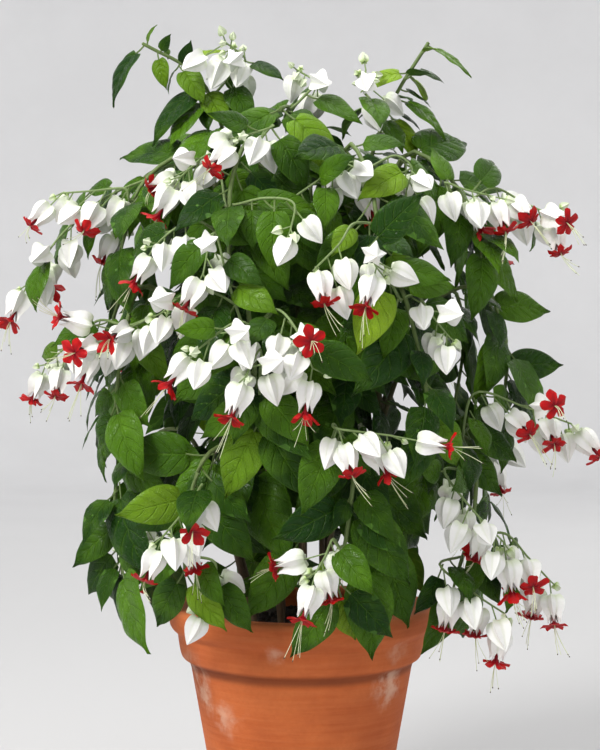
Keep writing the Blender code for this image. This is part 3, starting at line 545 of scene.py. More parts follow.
def nearest_seat(canes, point, skip):
    """The stem point nearest to a place, passing over the first few choices if they were no good."""
    seats = []
    for name, shoots in canes.items():
        for path, radii in shoots:
            for k in range(len(path) // 2 - 1, len(path) - 1):
                for share in SEAT_SHARES:
                    seat = path[k] + (path[k + 1] - path[k]) * share
                    tangent = unit(path[k + 1] - path[k])
                    away = np.linalg.norm(seat - point)
                    seats.append((away, tuple(seat), tuple(tangent), radii[k], name))
    seats.sort()
    _, seat, tangent, radius, name = seats[skip]
    return np.array(seat), np.array(tangent), radius, name


def spray_places():
    """All sprays, with those at the sides and back set by a rule of turning and stepping heights."""
    places = dict(SPRAYS)
    for k in range(BACK_SPRAYS):
        share = k / (BACK_SPRAYS - 1)
        azimuth = BACK_TURNS[0] + (BACK_TURNS[1] - BACK_TURNS[0]) * share
        height = BACK_HEIGHTS[k % len(BACK_HEIGHTS)]
        reach = BACK_REACH - BACK_TAPER * abs(height - CANOPY_MIDDLE)
        start = around(azimuth + BACK_SWEEP[0], reach, height + BACK_DROPS[0])
        end = around(azimuth + BACK_SWEEP[1], reach + BACK_OUT, height + BACK_DROPS[1])
        places[f"spray_back_{k + 1}"] = (start, end, BACK_CALYCES, BACK_OPENED)
    return places


def stalk_route(seat, tangent, radius, start, end):
    """A stalk that leaves its stem squarely, rises a little, and then hangs through its flowers."""
    off = start - seat
    off = unit(off - tangent * off.dot(tangent))
    foot = seat + off * (radius + SEAT_GAP)
    knee = foot + off * STALK_KNEE
    middle = (knee + start) / 2 + np.array([0, 0, STALK_RISE]) + off * STALK_BOW
    route = spline([knee, middle, start, end], STALK_POINTS)
    return np.vstack([foot, route])


def grow_spray(canes, growth, name, place, rng):
    """One spray: its stalk and flowers, each turned until it clears its neighbours."""
    start = np.array(place[0])
    end = np.array(place[1])
    best = None
    for skip in range(0, SEAT_TRIES, SEAT_STEP):
        seat, tangent, radius, _ = nearest_seat(canes, start, skip)
        path = stalk_route(seat, tangent, radius, start, end)
        clear_of_seat = path[0] + FOOT_GUARD * unit(path[1] - path[0])
        hits = 0
        for a, b in zip([clear_of_seat, *path[1:]], path[1:]):
            hits += growth.hits(tube_guard(np.array([a, b]), STALK_THICKNESS / 2 + CLEARANCE))
        if best is None or hits < best[0]:
            best = (hits, path)
        if hits == 0:
            break
    path = best[1]
    spray = {"name": name, "path": path, "flowers": []}
    for a, b in zip(path, path[1:]):
        growth.add(tube_guard(np.array([a, b]), STALK_THICKNESS / 2 + STALK_SKIN), name)
    calyces = place[2]
    opened = place[3]
    reach = np.linalg.norm(end - start)
    for k in range(calyces):
        share = k / max(calyces - 1, 1)
        root, run = along(path, END_INSET + reach * (1 - share))
        out = outward(root)
        side = unit(np.cross(run, out)) * (1 if k % 2 else -1)
        wish = unit(ASIDE * side + OUTWARDS * out + DOWN + ONWARDS * run)
        flower = {"root": root, "size": rng.uniform(*FLOWER_SIZES), "turn": rng.uniform(0, FLOWER_SPIN)}
        flower["opened"] = (k + 1) * opened // calyces > k * opened // calyces
        for attempt in range(FLOWER_TRIES):
            stray = np.array([rng.uniform(-1, 1) for _ in range(3)])
            flower["axis"] = unit(wish + stray * (FLOWER_STRAY[0] + FLOWER_STRAY[1] * attempt))
            flower["stalk"] = rng.uniform(*PEDICEL_LENGTHS) * (1 + PEDICEL_STRETCH * attempt)
            if growth.is_clear(flower_rings, (flower, CLEARANCE), FLOWER_GUARD, name):
                growth.add(loft(flower_rings(flower, 0.0, FLOWER_GUARD)), name)
                spray["flowers"].append(dict(flower))
                break
    return spray


def leaf_seats(path, chosen):
    """Where leaves stand on a shoot, from its tip back: root, heading, way out and length.

    Opposite pairs stand by turns across the shoot and outwards. The outer ones of a free crown
    shoot are set one by one, and its rule starts behind them.
    """
    for distance, heading, length in chosen:
        root, _ = along(path, distance)
        yield root, np.array(heading), outward(root), length, True
    first = chosen[-1][0] / LEAF_STEP + 1.0 if chosen else 0.0
    for node in range(LEAF_NODES - (2 if chosen else 0)):
        steps = first + node * (STEP_SHARES[0] + STEP_SHARES[1] * node)
        root, run = along(path, TIP_INSET + LEAF_STEP * steps)
        out = outward(root)
        side = unit(np.cross(run, out))
        length = LEAF_LENGTH * (1.0 if chosen else YOUNG_SHARES[0] + YOUNG_SHARES[1] * min(node, 2))
        if node % 2 == 0:
            for hand in (-1, 1):
                yield root, side * hand * PAIR_HEADING[0] + run * PAIR_HEADING[1], out, length, False
        else:
            yield root, out * OUTER_HEADING[0] + run * OUTER_HEADING[1], out, length, False


def grow_leaf(growth, owner, seat, rng):
    """One leaf, turned, lowered or made smaller until it crosses nothing, or left out."""
    root, heading, out, length, chosen = seat
    size = length * (1.0 if chosen else rng.uniform(*LEAF_SIZES))
    droop = 0.0 if chosen else LEAF_DROOP * (1 - LEAF_DROOP_LOSS * max(out[2], 0))
    lift = 0.0 if chosen else LEAF_LIFT
    for attempt in range(LEAF_TRIES):
        stray = np.array([rng.uniform(-1, 1) for _ in range(3)])
        wild = (CHOSEN_STRAY if chosen else LEAF_STRAY) + STRAY_GROWTH * attempt
        wish = unit(unit(heading) + DOWN * droop + out * lift + stray * wild)
        upper = lightward(root) + stray[::-1] * UPPER_STRAY
        upper = unit(upper - wish * upper.dot(wish))
        leaf = {
            "root": root,
            "heading": wish,
            "upper": upper,
            "stalk": min(PETIOLE_LENGTH * rng.uniform(*PETIOLE_SPREAD), PETIOLE_MOST * size),
            "length": size * (1.0 if attempt < LATE_TRY else LATE_SIZE),
            "curl": rng.uniform(*LEAF_CURLS),
            "fold": rng.uniform(*LEAF_FOLDS),
        }
        if growth.takes_leaf(leaf, owner):
            return leaf
    return None


def straight_leaf(root, heading, face, stalk, length):
    """A leaf of a given heading, with its upper side turned to a face as far as that lets it."""
    upper = unit(face - heading * face.dot(heading))
    return {"root": root, "heading": heading, "upper": upper, "stalk": stalk, "length": length,
            "curl": PLACED_CURL, "fold": PLACED_FOLD}


def place_leaf(growth, canes, place, shifts=(0.0,), seats=PLACE_TRIES, longest=1.0):
    """A leaf that hangs to a given tip, at the first depth and stem where it crosses nothing.

    A place is a base, a tip and a length. Stems whence its stalk were too long are passed over.
    """
    base, tip, size = place
    for shift in shifts:
        start = np.array(base) + (0, shift, 0)
        end = np.array(tip) + (0, shift, 0)
        for skip in range(seats):
            root, _, _, owner = nearest_seat(canes, start, skip)
            reach = np.linalg.norm(end - root)
            length = min(size, (1 - PETIOLE_LEAST) * reach)
            if reach - length > longest:
                continue
            leaf = straight_leaf(root, (end - root) / reach, lightward(root), reach - length, length)
            if growth.takes_leaf(leaf, owner):
                return owner, leaf
    return None, None


def pot_guard():
    """A plain turned form round the pot and its soil."""
    rings = []
    for radius, height in ((BASE_RADIUS, 0.0), (NECK_RADIUS + POT_ROOM, POT_HEIGHT - BAND_HEIGHT),
                           (LIP_RADIUS + POT_ROOM, POT_HEIGHT - BAND_HEIGHT),
                           (LIP_RADIUS + POT_ROOM, POT_HEIGHT + POT_ROOM)):
        middle = np.array([0, 0, height])
        rings.append(ring_about(middle, np.array([0, 0, 1.0]), radius * POT_MARGIN, POT_SIDES))
    return loft(rings)


def grow_plant(growth):
    """The whole plant: stems first, then the sprays, then leaves in the room that is left."""
    canes = make_stems(growth)
    growth.add(pot_guard(), "pot")
    sprays = []
    for number, (name, place) in enumerate(spray_places().items()):
        sprays.append(grow_spray(canes, growth, name, place, random.Random(SEED + number)))
    leaves = {name: [] for name in canes}
    for place in PLACED_LEAVES:
        owner, leaf = place_leaf(growth, canes, place)
        if leaf:
            leaves[owner].append(leaf)
    for number, (name, shoots) in enumerate(canes.items()):
        rng = random.Random(SEED * 100 + number)
        for path, _ in shoots:
            for seat in leaf_seats(path, CROWN_LEAVES.get(name, ())):
                leaf = grow_leaf(growth, name, seat, rng)
                if leaf:
                    leaves[name].append(leaf)
    return canes, sprays, leaves


# Finer leaves: rings from base to tip and cells across each side, for outer, inner and spray leaves
FINE_STATIONS = 28
FINE_CELLS = 10
INNER_STATIONS = 7
INNER_CELLS = 4
SPRAY_LEAF_STATIONS = 15
SPRAY_LEAF_CELLS = 8
BLADE_THICKNESS = 0.0005

# A blade's outline: its powers at the base and the tip, its peak, and how it is drawn in near the
# tip as a share, a place and a width
STATION_EASE = 1.05
OUTLINE_RISE = 0.5
OUTLINE_FALL = 1.15
OUTLINE_PEAK = 0.3634
DRAWN_TIP = (0.30, 0.9, 0.08)
BASE_LOBES = (0.06, 0.16)

# A blade's relief, as shares of its length or half width
VEIN_PAIRS = 5.5
VEIN_SWEEP = 0.28
VEIN_BOW = 1.2
QUILT_HEIGHT = 0.022
MIDRIB_GROOVE = (0.010, 0.12)
FOLD_ROUND = 0.1
MARGIN_DROOP = 0.16
WAVE_HEIGHT = 0.014
WAVE_COUNTS = (1.4, 2.4)
WAVE_SPLIT = 1.9
BLADE_SWAY = 0.03

# Leaf stalks and other round stems: fine points for each of a cane's own, and how green a side
# shoot starts
CANE_POINTS = 4
SHOOT_GREEN = 0.4
PETIOLE_POINTS = 5
PETIOLE_RUN = 1.04
PETIOLE_SAG = 0.05
PETIOLE_SIDES = 6
STALK_SIDES = 8
ROUND_END = 0.5
LEAN = np.array([0.31, 0.27, 0.91])

# Leaves inside the bush: steps along the wood, lengths, where they stop, the crown's smaller
# share, and the shares of side, out and run in their headings
INNER_SEED = 1000
INNER_STEP = 0.0095
INNER_FOOT = 0.030
INNER_INSET = 0.006
INNER_LENGTHS = (0.038, 0.060)
INNER_TOP = 0.648
INNER_ASIDE = (0.1, 1.0)
INNER_OUTWARDS = (0.0, 0.9)
INNER_ONWARDS = 0.2
CROWN_START = 0.570
CROWN_SHARE = 0.62
RIM_ROOM = 0.012
LEAF_PROUD = 0.004

# Small leaves along the sprays' stalks, in the same terms
SPRAY_LEAF_SEED = 2000
SPRAY_LEAF_STEP = 0.011
SPRAY_LEAF_INSET = 0.008
SPRAY_LEAF_LENGTHS = (0.036, 0.054)
SPRAY_LEAF_ASIDE = (0.4, 1.0)
SPRAY_LEAF_ONWARDS = (0.0, 0.6)
SPRAY_LEAF_OUTWARDS = 0.1
QUARTERS = ("front", "right", "back", "left")

# Small leaves at the tip of the free shoot at the upper left
TIP_LEAVES = (
    ((-0.1133, -0.020, 0.6552), (-0.1043, -0.026, 0.6724), 0.017),
    ((-0.1027, -0.020, 0.6486), (-0.0880, -0.028, 0.6683), 0.022),
    ((-0.1260, -0.010, 0.6580), (-0.1330, -0.024, 0.6740), 0.016),
)
TIP_STALK = 0.003
TIP_FACE = np.array([0.2, -0.9, 0.4])

# Leaves that close gaps low in the bush: base, tip and length, and the depths and seats tried
HUNG_LEAVES = (
    ((-0.0991, -0.06, 0.3823), (-0.1484, -0.09, 0.3322), 0.062),
    ((-0.0811, -0.06, 0.3768), (-0.1124, -0.09, 0.3181), 0.060),
    ((-0.0623, -0.07, 0.3729), (-0.0795, -0.10, 0.3220), 0.052),
    ((-0.1187, -0.05, 0.3948), (-0.1594, -0.07, 0.3573), 0.058),
    ((-0.0991, -0.06, 0.3494), (-0.1108, -0.08, 0.3025), 0.048),
    ((-0.0750, -0.06, 0.4300), (-0.1050, -0.08, 0.3750), 0.058),
    ((0.0771, -0.06, 0.3847), (0.0654, -0.09, 0.3416), 0.052),
    ((0.0900, -0.05, 0.4100), (0.1050, -0.07, 0.3600), 0.052),
    ((-0.0500, -0.05, 0.4200), (-0.0600, -0.08, 0.3700), 0.052),
)
HUNG_SHIFTS = (0.0, -0.015, 0.015, -0.03, 0.03, 0.045)
HUNG_SEATS = 12
HUNG_STALK = 0.030

# Leaf tints: mean and spread, and for outer leaves the gain with height and the young ones' part
TINT_SEED = 500
OUTER_TINT = (0.20, 0.17)
HIGH_TINT = 0.12
TINT_START = 0.2
TINT_SPAN = 0.46
YOUNG_LENGTH = 0.045
YOUNG_CHANCE = 0.012
YOUNG_TINTS = (0.60, 0.85)
INNER_TINT = (0.14, 0.10)
SPRAY_TINT_SEED = 700
SPRAY_TINT = (0.34, 0.16)
BUD_TINT = 0.7

# Buds
BUDS = {"spray_crown_left": 9, "spray_crown_middle": 5, "spray_crown_right": 5}
USUAL_BUDS = 2
BUD_SEED = 3000
BUD_INSET = 0.0004
BUD_STEP = 0.0026
BUD_STRAY = 0.9
BUD_DROOP = 0.2
BUD_SIZES = (0.22, 0.45)
BUD_STALKS = (0.004, 0.011)
BUD_CLEARANCE = 0.0002
BUD_GUARD = 0.002

# Calyces: width between and on the keels, unevenness, the lobes of an open mouth as start, run
# and depth, the notch at the foot as depth and reach, the wall, and where the skins close
CALYX_POINTS = 20
CALYX_WAIST = 0.64
CALYX_KEEL = 0.46
CALYX_SWELL = 0.06
MOUTH_LOBES = (0.5, 0.48, 0.30)
FOOT_NOTCH = (0.035, 0.3)
CALYX_WALL = 0.0006
WALL_END = 5
CALYX_FOOT = 0.12
CALYX_DEPTH = 0.30

# Stars: a lobe's roundness and the share of its point, the reach between and on the lobes, the
# rings' ways out and lifts, how far lobes cup or fall, and their ripple
STAR_POINTS = 40
LOBE_ROUND = 0.42
LOBE_POINT = 0.20
STAR_REACH = (0.44, 0.62)
STAR_UNEVEN = 0.12
STAR_OUT = (0.10, 0.13, 0.36, 0.72, 1.0, 0.74, 0.38, 0.10)
STAR_LIFT = (-0.0100, -0.0016, 0.0, 0.0, 0.0002, 0.0006, 0.0006, 0.0)
TUBE_RINGS = 2
STAR_FALLS = (-0.70, 0.45)
STAR_RIPPLE = 0.0009
STAR_RAISED = 0.0012
STAR_ENDS = (-0.0104, 0.0002)

# Stamens: threads a flower, their length's spread, the shares of run and bend, the bend's parts,
# and how threads that would stand too far out of the solids' box are shortened
FILAMENTS = 4
THREAD_SPREAD = (0.75, 1.15)
THREAD_RUN = 0.85
THREAD_BEND = 0.55
THREAD_WISH = (0.5, 0.35, 0.5)
THREAD_BOW = 0.1
THREAD_POINTS = 8
THREAD_CUTS = 6
THREAD_CUT = 0.75
PROUD = 0.009
ANTHER_LENGTH = 0.0017
ANTHER_WIDTH = 0.28

# Fine stalks of the sprays and their flowers, and small beads for anthers and crumbs
FLOWER_SEEDS = 60
FINE_STALK_POINTS = 24
STALK_TAPER = 0.6
PEDICEL_RUN = 1.3
PEDICEL_POINTS = 5
PEDICEL_SIDES = 5
BEAD_SIDES = 6
BEAD_ROUNDS = 3
BEAD_SPREAD = (0.8, 1.2)

# Random phases lie in about a full turn
PHASE_SPAN = 6.3

# Turned skins of the pot and the soil: spacing and easing of the profile, and sides
POT_SPACING = 0.0016
POT_EASING = 2
FINE_SIDES = 96
DRAIN_SIDES = 24
POT_MIDDLE = 0.004
SOIL_SIDES = 120
SOIL_RINGS = 44
SOIL_MIDDLE = 0.002
SOIL_EDGE = (0.0004, 0.004)
SOIL_FADE = 0.004

# Soil lumps and loose crumbs
LUMP_PITCHES = (0.030, 0.018, 0.011, 0.007, 0.0045)
LUMP_WAVES = 5
LUMP_SHARE = 4
CRUMB_MARGIN = 0.005
CRUMB_WIDTHS = (0.0008, 0.0026)
CRUMB_SHARES = (0.6, 1.0)
CRUMB_STRETCH = (2.0, 3.4)
CRUMB_TILT = 0.4
CRUMB_RISE = 0.3


def stays_in(leaf):
    """Whether a leaf that was added ends inside the solids' box, or hardly out of it."""
    low, high = (np.array(corner) for corner in CAD_BOX)
    end = leaf["root"] + leaf["heading"] * (leaf["stalk"] + leaf["length"])
    return bool(((end > low - LEAF_PROUD) & (end < high + LEAF_PROUD)).all())


def grow_inner_leaves(growth, canes, leaves):
    """More leaves, on all the wood behind the outer ones, wherever one clears what has grown."""
    inner = {name: [] for name in canes}
    for place in HUNG_LEAVES:
        owner, leaf = place_leaf(growth, canes, place, HUNG_SHIFTS, HUNG_SEATS, HUNG_STALK)
        if leaf:
            leaves[owner].append(leaf)
    rng = random.Random(SEED + INNER_SEED)
    for name, shoots in canes.items():
        for path, _ in shoots:
            length = np.linalg.norm(np.diff(path, axis=0), axis=1).sum()
            for step in range(int((length - INNER_FOOT) / INNER_STEP)):
                root, run = along(path, INNER_INSET + step * INNER_STEP)
                if not POT_HEIGHT + RIM_ROOM < root[2] < INNER_TOP:
                    continue
                out = outward(root)
                side = unit(np.cross(run, out)) * (1 if step % 2 else -1)
                heading = side * rng.uniform(*INNER_ASIDE) + out * rng.uniform(*INNER_OUTWARDS)
                heading = heading + run * INNER_ONWARDS
                size = rng.uniform(*INNER_LENGTHS) * (CROWN_SHARE if root[2] > CROWN_START else 1)
                leaf = grow_leaf(growth, name, (root, heading, out, size, False), rng)
                if leaf and stays_in(leaf):
                    inner[name].append(leaf)
    for base, tip, size in TIP_LEAVES:
        root, _, _, owner = nearest_seat(canes, np.array(base), 0)
        leaf = straight_leaf(root, unit(tip - root), TIP_FACE, TIP_STALK, size)
        if growth.takes_leaf(leaf, owner):
            inner[owner].append(leaf)
    return inner


def grow_spray_leaves(growth, sprays):
    """Small leaves along each spray's stalk, behind its flowers, sorted by the quarter they stand in."""
    grown = {name: [] for name in QUARTERS}
    for number, spray in enumerate(sprays):
        rng = random.Random(SEED + SPRAY_LEAF_SEED + number)
        path = spray["path"]
        length = np.linalg.norm(np.diff(path, axis=0), axis=1).sum()
        for step in range(int((length - SPRAY_LEAF_INSET) / SPRAY_LEAF_STEP)):
            root, run = along(path, length - SPRAY_LEAF_INSET - step * SPRAY_LEAF_STEP)
            out = outward(root)
            side = unit(np.cross(run, out)) * (1 if step % 2 else -1)
            heading = side * rng.uniform(*SPRAY_LEAF_ASIDE) + run * rng.uniform(*SPRAY_LEAF_ONWARDS)
            heading = heading + out * SPRAY_LEAF_OUTWARDS
            size = rng.uniform(*SPRAY_LEAF_LENGTHS)
            leaf = grow_leaf(growth, spray["name"], (root, heading, out, size, False), rng)
            if leaf and stays_in(leaf):
                turn = math.degrees(math.atan2(root[0], -root[1]))
                grown[QUARTERS[int((turn + 45) // 90) % 4]].append(leaf)
    return grown


def grow_buds(growth, sprays):
    """Small closed buds near the end of each spray, most of them on the young sprays of the crown."""
    for number, spray in enumerate(sprays):
        rng = random.Random(SEED + BUD_SEED + number)
        spray["buds"] = []
        for k in range(BUDS.get(spray["name"], USUAL_BUDS)):
            root, run = along(spray["path"], BUD_INSET + BUD_STEP * k)
            for _ in range(FLOWER_TRIES):
                stray = np.array([rng.uniform(-1, 1) for _ in range(3)])
                axis = unit(run + stray * BUD_STRAY + DOWN * BUD_DROOP)
                bud = {"root": root, "axis": axis, "opened": False}
                bud["size"] = rng.uniform(*BUD_SIZES)
                bud["turn"] = rng.uniform(0, FLOWER_SPIN)
                bud["stalk"] = rng.uniform(*BUD_STALKS)
                if growth.is_clear(flower_rings, (bud, BUD_CLEARANCE), BUD_GUARD, spray["name"]):
                    growth.add(loft(flower_rings(bud, 0.0, BUD_GUARD)), spray["name"])
                    spray["buds"].append(bud)
                    break


def normal_of(vectors):
    """Unit vectors along the last axis."""
    return vectors / np.linalg.norm(vectors, axis=-1, keepdims=True)


def gathered(forms, key):
    """One key's value of all leaves or flowers, as rows."""
    return np.array([form[key] for form in forms], float)


class Skins:
    """Closed skins gathered for one piece, with three numbers on each point: along, across, tint."""

    def __init__(self):
        self.points = []
        self.values = []
        self.corners = []
        self.sizes = []
        self.finishes = []
        self.count = 0

    def add(self, rings, first, last, finish, along_=0.0, across=0.0, tint=0.0):
        """Adds forms of rings (form, ring, place round it, xyz), with a fan to one point at each end.

        Faces look outwards where the places run anticlockwise, seen from the last ring.
        """
        forms, count, round_, _ = rings.shape
        points = np.concatenate([rings.reshape(forms, -1, 3), first[:, None], last[:, None]], axis=1)
        spread = [np.broadcast_to(value, rings.shape[:3]) for value in (along_, across, tint)]
        values = np.stack(spread, axis=-1)
        ends = values[:, [0, -1]].mean(axis=2)
        values = np.concatenate([values.reshape(forms, -1, 3), ends], axis=1)
        at = np.arange(count * round_).reshape(count, round_)
        after = np.roll(at, -1, axis=1)
        quads = np.stack([at[:-1], after[:-1], after[1:], at[1:]], axis=-1).reshape(-1, 4)
        foot = np.stack([after[0], at[0], np.full(round_, count * round_)], axis=-1)
        head = np.stack([at[-1], after[-1], np.full(round_, count * round_ + 1)], axis=-1)
        tris = np.concatenate([foot, head])
        starts = self.count + np.arange(forms)[:, None, None] * points.shape[1]
        row = np.broadcast_to(finish, (round_,))
        for faces, rows in ((quads, count - 1), (tris, 2)):
            self.corners.append((faces[None] + starts).reshape(-1))
            self.sizes.append(np.full(forms * len(faces), faces.shape[1]))
            self.finishes.append(np.tile(row, forms * rows))
        self.points.append(points.reshape(-1, 3))
        self.values.append(values.reshape(-1, 3))
        self.count += forms * points.shape[1]

    def shown(self, name, materials, crease=50.0):
        """The mesh object of all that was gathered."""
        mesh = bpy.data.meshes.new(name)
        corners = np.concatenate(self.corners)
        sizes = np.concatenate(self.sizes)
        mesh.vertices.add(self.count)
        mesh.vertices.foreach_set("co", np.concatenate(self.points).astype(np.float32).ravel())
        mesh.loops.add(len(corners))
        mesh.loops.foreach_set("vertex_index", corners.astype(np.int32))
        mesh.polygons.add(len(sizes))
        mesh.polygons.foreach_set("loop_start", (np.cumsum(sizes) - sizes).astype(np.int32))
        for finish in materials:
            mesh.materials.append(finish)
        mesh.polygons.foreach_set("material_index", np.concatenate(self.finishes).astype(np.int32))
        mesh.polygons.foreach_set("use_smooth", np.ones(len(sizes), bool))
        mesh.update(calc_edges=True)
        values = np.concatenate(self.values).astype(np.float32)
        for k, key in enumerate(("along", "across", "tint")):
            attribute = mesh.attributes.new(key, "FLOAT", "POINT")
            attribute.data.foreach_set("value", np.ascontiguousarray(values[:, k]))
        mesh.set_sharp_from_angle(angle=math.radians(crease))
        made = bpy.data.objects.new(name, mesh)
        bpy.context.scene.collection.objects.link(made)
        return made

    def piece(self, name, materials, nodes, crease=50.0):
        """The same, riding on the part and standing for its CAD nodes."""
        made = self.shown(name, materials, crease)
        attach(made, "root")
        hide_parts(*nodes)
        return made


def tubes(paths, radii, sides):
    """Round skins: each ring is its path's point + radius * (cos * side + sin * rise)."""
    run = normal_of(np.gradient(paths, axis=1))
    side = normal_of(np.cross(run, LEAN))
    rise = np.cross(run, side)
    angle = 2 * np.pi * np.arange(sides) / sides
    wheel = np.cos(angle)[:, None] * side[:, :, None] + np.sin(angle)[:, None] * rise[:, :, None]
    radii = np.broadcast_to(radii, paths.shape[:2])
    rings = paths[:, :, None] + radii[:, :, None, None] * wheel
    return rings, paths[:, 0], paths[:, -1] + run[:, -1] * radii[:, -1:] * ROUND_END


def leaf_blades(leaves, stations, cells, seed):
    """Leaf blades, closed round the margin.

    At s from base to tip and a from one margin to the other, a point is the midrib's arc at s
    + side * half width * outline(s) * a + normal * (fold + droop of the margin + quilting
    between the veins + a slow wave). The outline is s to OUTLINE_RISE times (1 - s) to
    OUTLINE_FALL, drawn in before the tip. The quilting is a squared sine of VEIN_PAIRS *
    (s - VEIN_SWEEP * a to VEIN_BOW).
    """
    rng = np.random.default_rng(seed)
    count = len(leaves)
    step = np.arange(2 * cells)
    a = np.where(step <= cells, 2 * step / cells - 1, 3 - 2 * step / cells)[None, None]
    face = np.where(step < cells, 1.0, -1.0) * (step % cells != 0)
    s = np.linspace(0.0, 1.0, stations + 2)[1:-1] ** STATION_EASE
    s = s[None, :, None]
    heading = gathered(leaves, "heading")
    upper = gathered(leaves, "upper")
    side = np.cross(heading, upper)
    length = gathered(leaves, "length")[:, None, None]
    fold = gathered(leaves, "fold")[:, None, None]
    curl = gathered(leaves, "curl")[:, None, None]
    base = gathered(leaves, "root") + heading * gathered(leaves, "stalk")[:, None]
    drawn, place, wide = DRAWN_TIP
    outline = s**OUTLINE_RISE * (1 - s) ** OUTLINE_FALL / OUTLINE_PEAK
    outline = outline * (1 - drawn * np.exp(-(((s - place) / wide) ** 2)))
    half = 0.5 * LEAF_WIDTH * length * outline
    quilt = np.sin(np.pi * VEIN_PAIRS * (s - VEIN_SWEEP * abs(a) ** VEIN_BOW)) ** 2 * (1 - a**2)
    deep, wide = MIDRIB_GROOVE
    groove = deep * np.exp(-((a / wide) ** 2)) * (1 - s)
    phase = rng.uniform(0, 2 * np.pi, (count, 1, 1)) + WAVE_SPLIT * np.sign(a)
    wave = np.sin(2 * np.pi * rng.uniform(*WAVE_COUNTS, (count, 1, 1)) * s + phase) * a**2
    lift = half * (np.sin(fold) * (np.hypot(a, FOLD_ROUND) - FOLD_ROUND) - MARGIN_DROOP * a**4)
    lift = lift + length * (QUILT_HEIGHT * quilt - groove + WAVE_HEIGHT * wave)
    lift = lift + face * BLADE_THICKNESS / 2
    angle = curl * s
    back, short = BASE_LOBES
    forward = length / curl * np.sin(angle) - length * back * a**2 * np.exp(-((s / short) ** 2))
    drop = length / curl * (1 - np.cos(angle))
    sway = rng.uniform(-BLADE_SWAY, BLADE_SWAY, (count, 1, 1)) * s**2
    over = half * a * np.cos(fold) + length * sway
    forward = forward + np.sin(angle) * lift
    raised = np.cos(angle) * lift - drop
    rings = base[:, None, None] + forward[..., None] * heading[:, None, None]
    rings = rings + raised[..., None] * upper[:, None, None] + over[..., None] * side[:, None, None]
    tip_angle = curl[:, 0]
    tip = base + heading * (length[:, 0] / curl[:, 0] * np.sin(tip_angle))
    tip = tip - upper * (length[:, 0] / curl[:, 0] * (1 - np.cos(tip_angle)))
    finish = np.where(step < cells, 1, 2)
    tint = np.array([leaf.get("tint", 0.0) for leaf in leaves])[:, None, None]
    return (rings, base, tip, finish), (s, a, tint)


def add_leaves(skins, leaves, stations, cells, seed, thickness):
    """Adds the blades and stalks of a group of leaves."""
    blades, (s, a, tint) = leaf_blades(leaves, stations, cells, seed)
    skins.add(*blades, along_=s, across=a, tint=tint)
    skins.add(*tubes(petioles(leaves), thickness / 2, PETIOLE_SIDES), 0, along_=1.0)


def petioles(leaves):
    """Leaf stalks: thin tubes from the stem's middle to the blade, sagging a little on the way."""
    root = gathered(leaves, "root")
    reach = gathered(leaves, "heading") * gathered(leaves, "stalk")[:, None]
    share = np.linspace(0, PETIOLE_RUN, PETIOLE_POINTS)
    paths = root[:, None] + share[:, None] * reach[:, None]
    sag = np.sin(np.pi * share)[:, None] * DOWN * PETIOLE_SAG
    return paths + sag * np.linalg.norm(reach, axis=1)[:, None, None]


def about_axis(flowers, angle, out, forward):
    """Points round each flower's axis: top + axis * forward + (cos * side + sin * rise) * out."""
    axis = gathered(flowers, "axis")
    side = normal_of(np.cross(axis, LEAN))
    rise = np.cross(axis, side)
    top = gathered(flowers, "root") + axis * gathered(flowers, "stalk")[:, None]
    turn = gathered(flowers, "turn")[:, None, None] + angle
    wheel = np.cos(turn)[..., None] * side[:, None, None] + np.sin(turn)[..., None] * rise[:, None, None]
    out, forward = np.broadcast_arrays(out, forward)
    return top[:, None, None] + forward[..., None] * axis[:, None, None] + out[..., None] * wheel


def tip_at(flowers, forward):
    """Points on the flowers' axes, a way forward from the ends of their stalks."""
    axis = gathered(flowers, "axis")
    top = gathered(flowers, "root") + axis * gathered(flowers, "stalk")[:, None]
    return top + axis * np.reshape(forward, (-1, 1))


CLOSED_PROFILE = np.array([
    (0.10, 0.10), (0.045, 0.26), (0.015, 0.48), (0.03, 0.70), (0.10, 0.88), (0.20, 0.98), (0.32, 1.00),
    (0.46, 0.92), (0.60, 0.74), (0.74, 0.52), (0.86, 0.30), (0.95, 0.12)])
OPEN_PROFILE = np.array([
    (0.10, 0.10), (0.045, 0.26), (0.015, 0.48), (0.03, 0.70), (0.10, 0.88), (0.21, 1.00), (0.34, 1.02),
    (0.50, 0.92), (0.66, 0.74), (0.82, 0.60), (0.98, 0.56)])


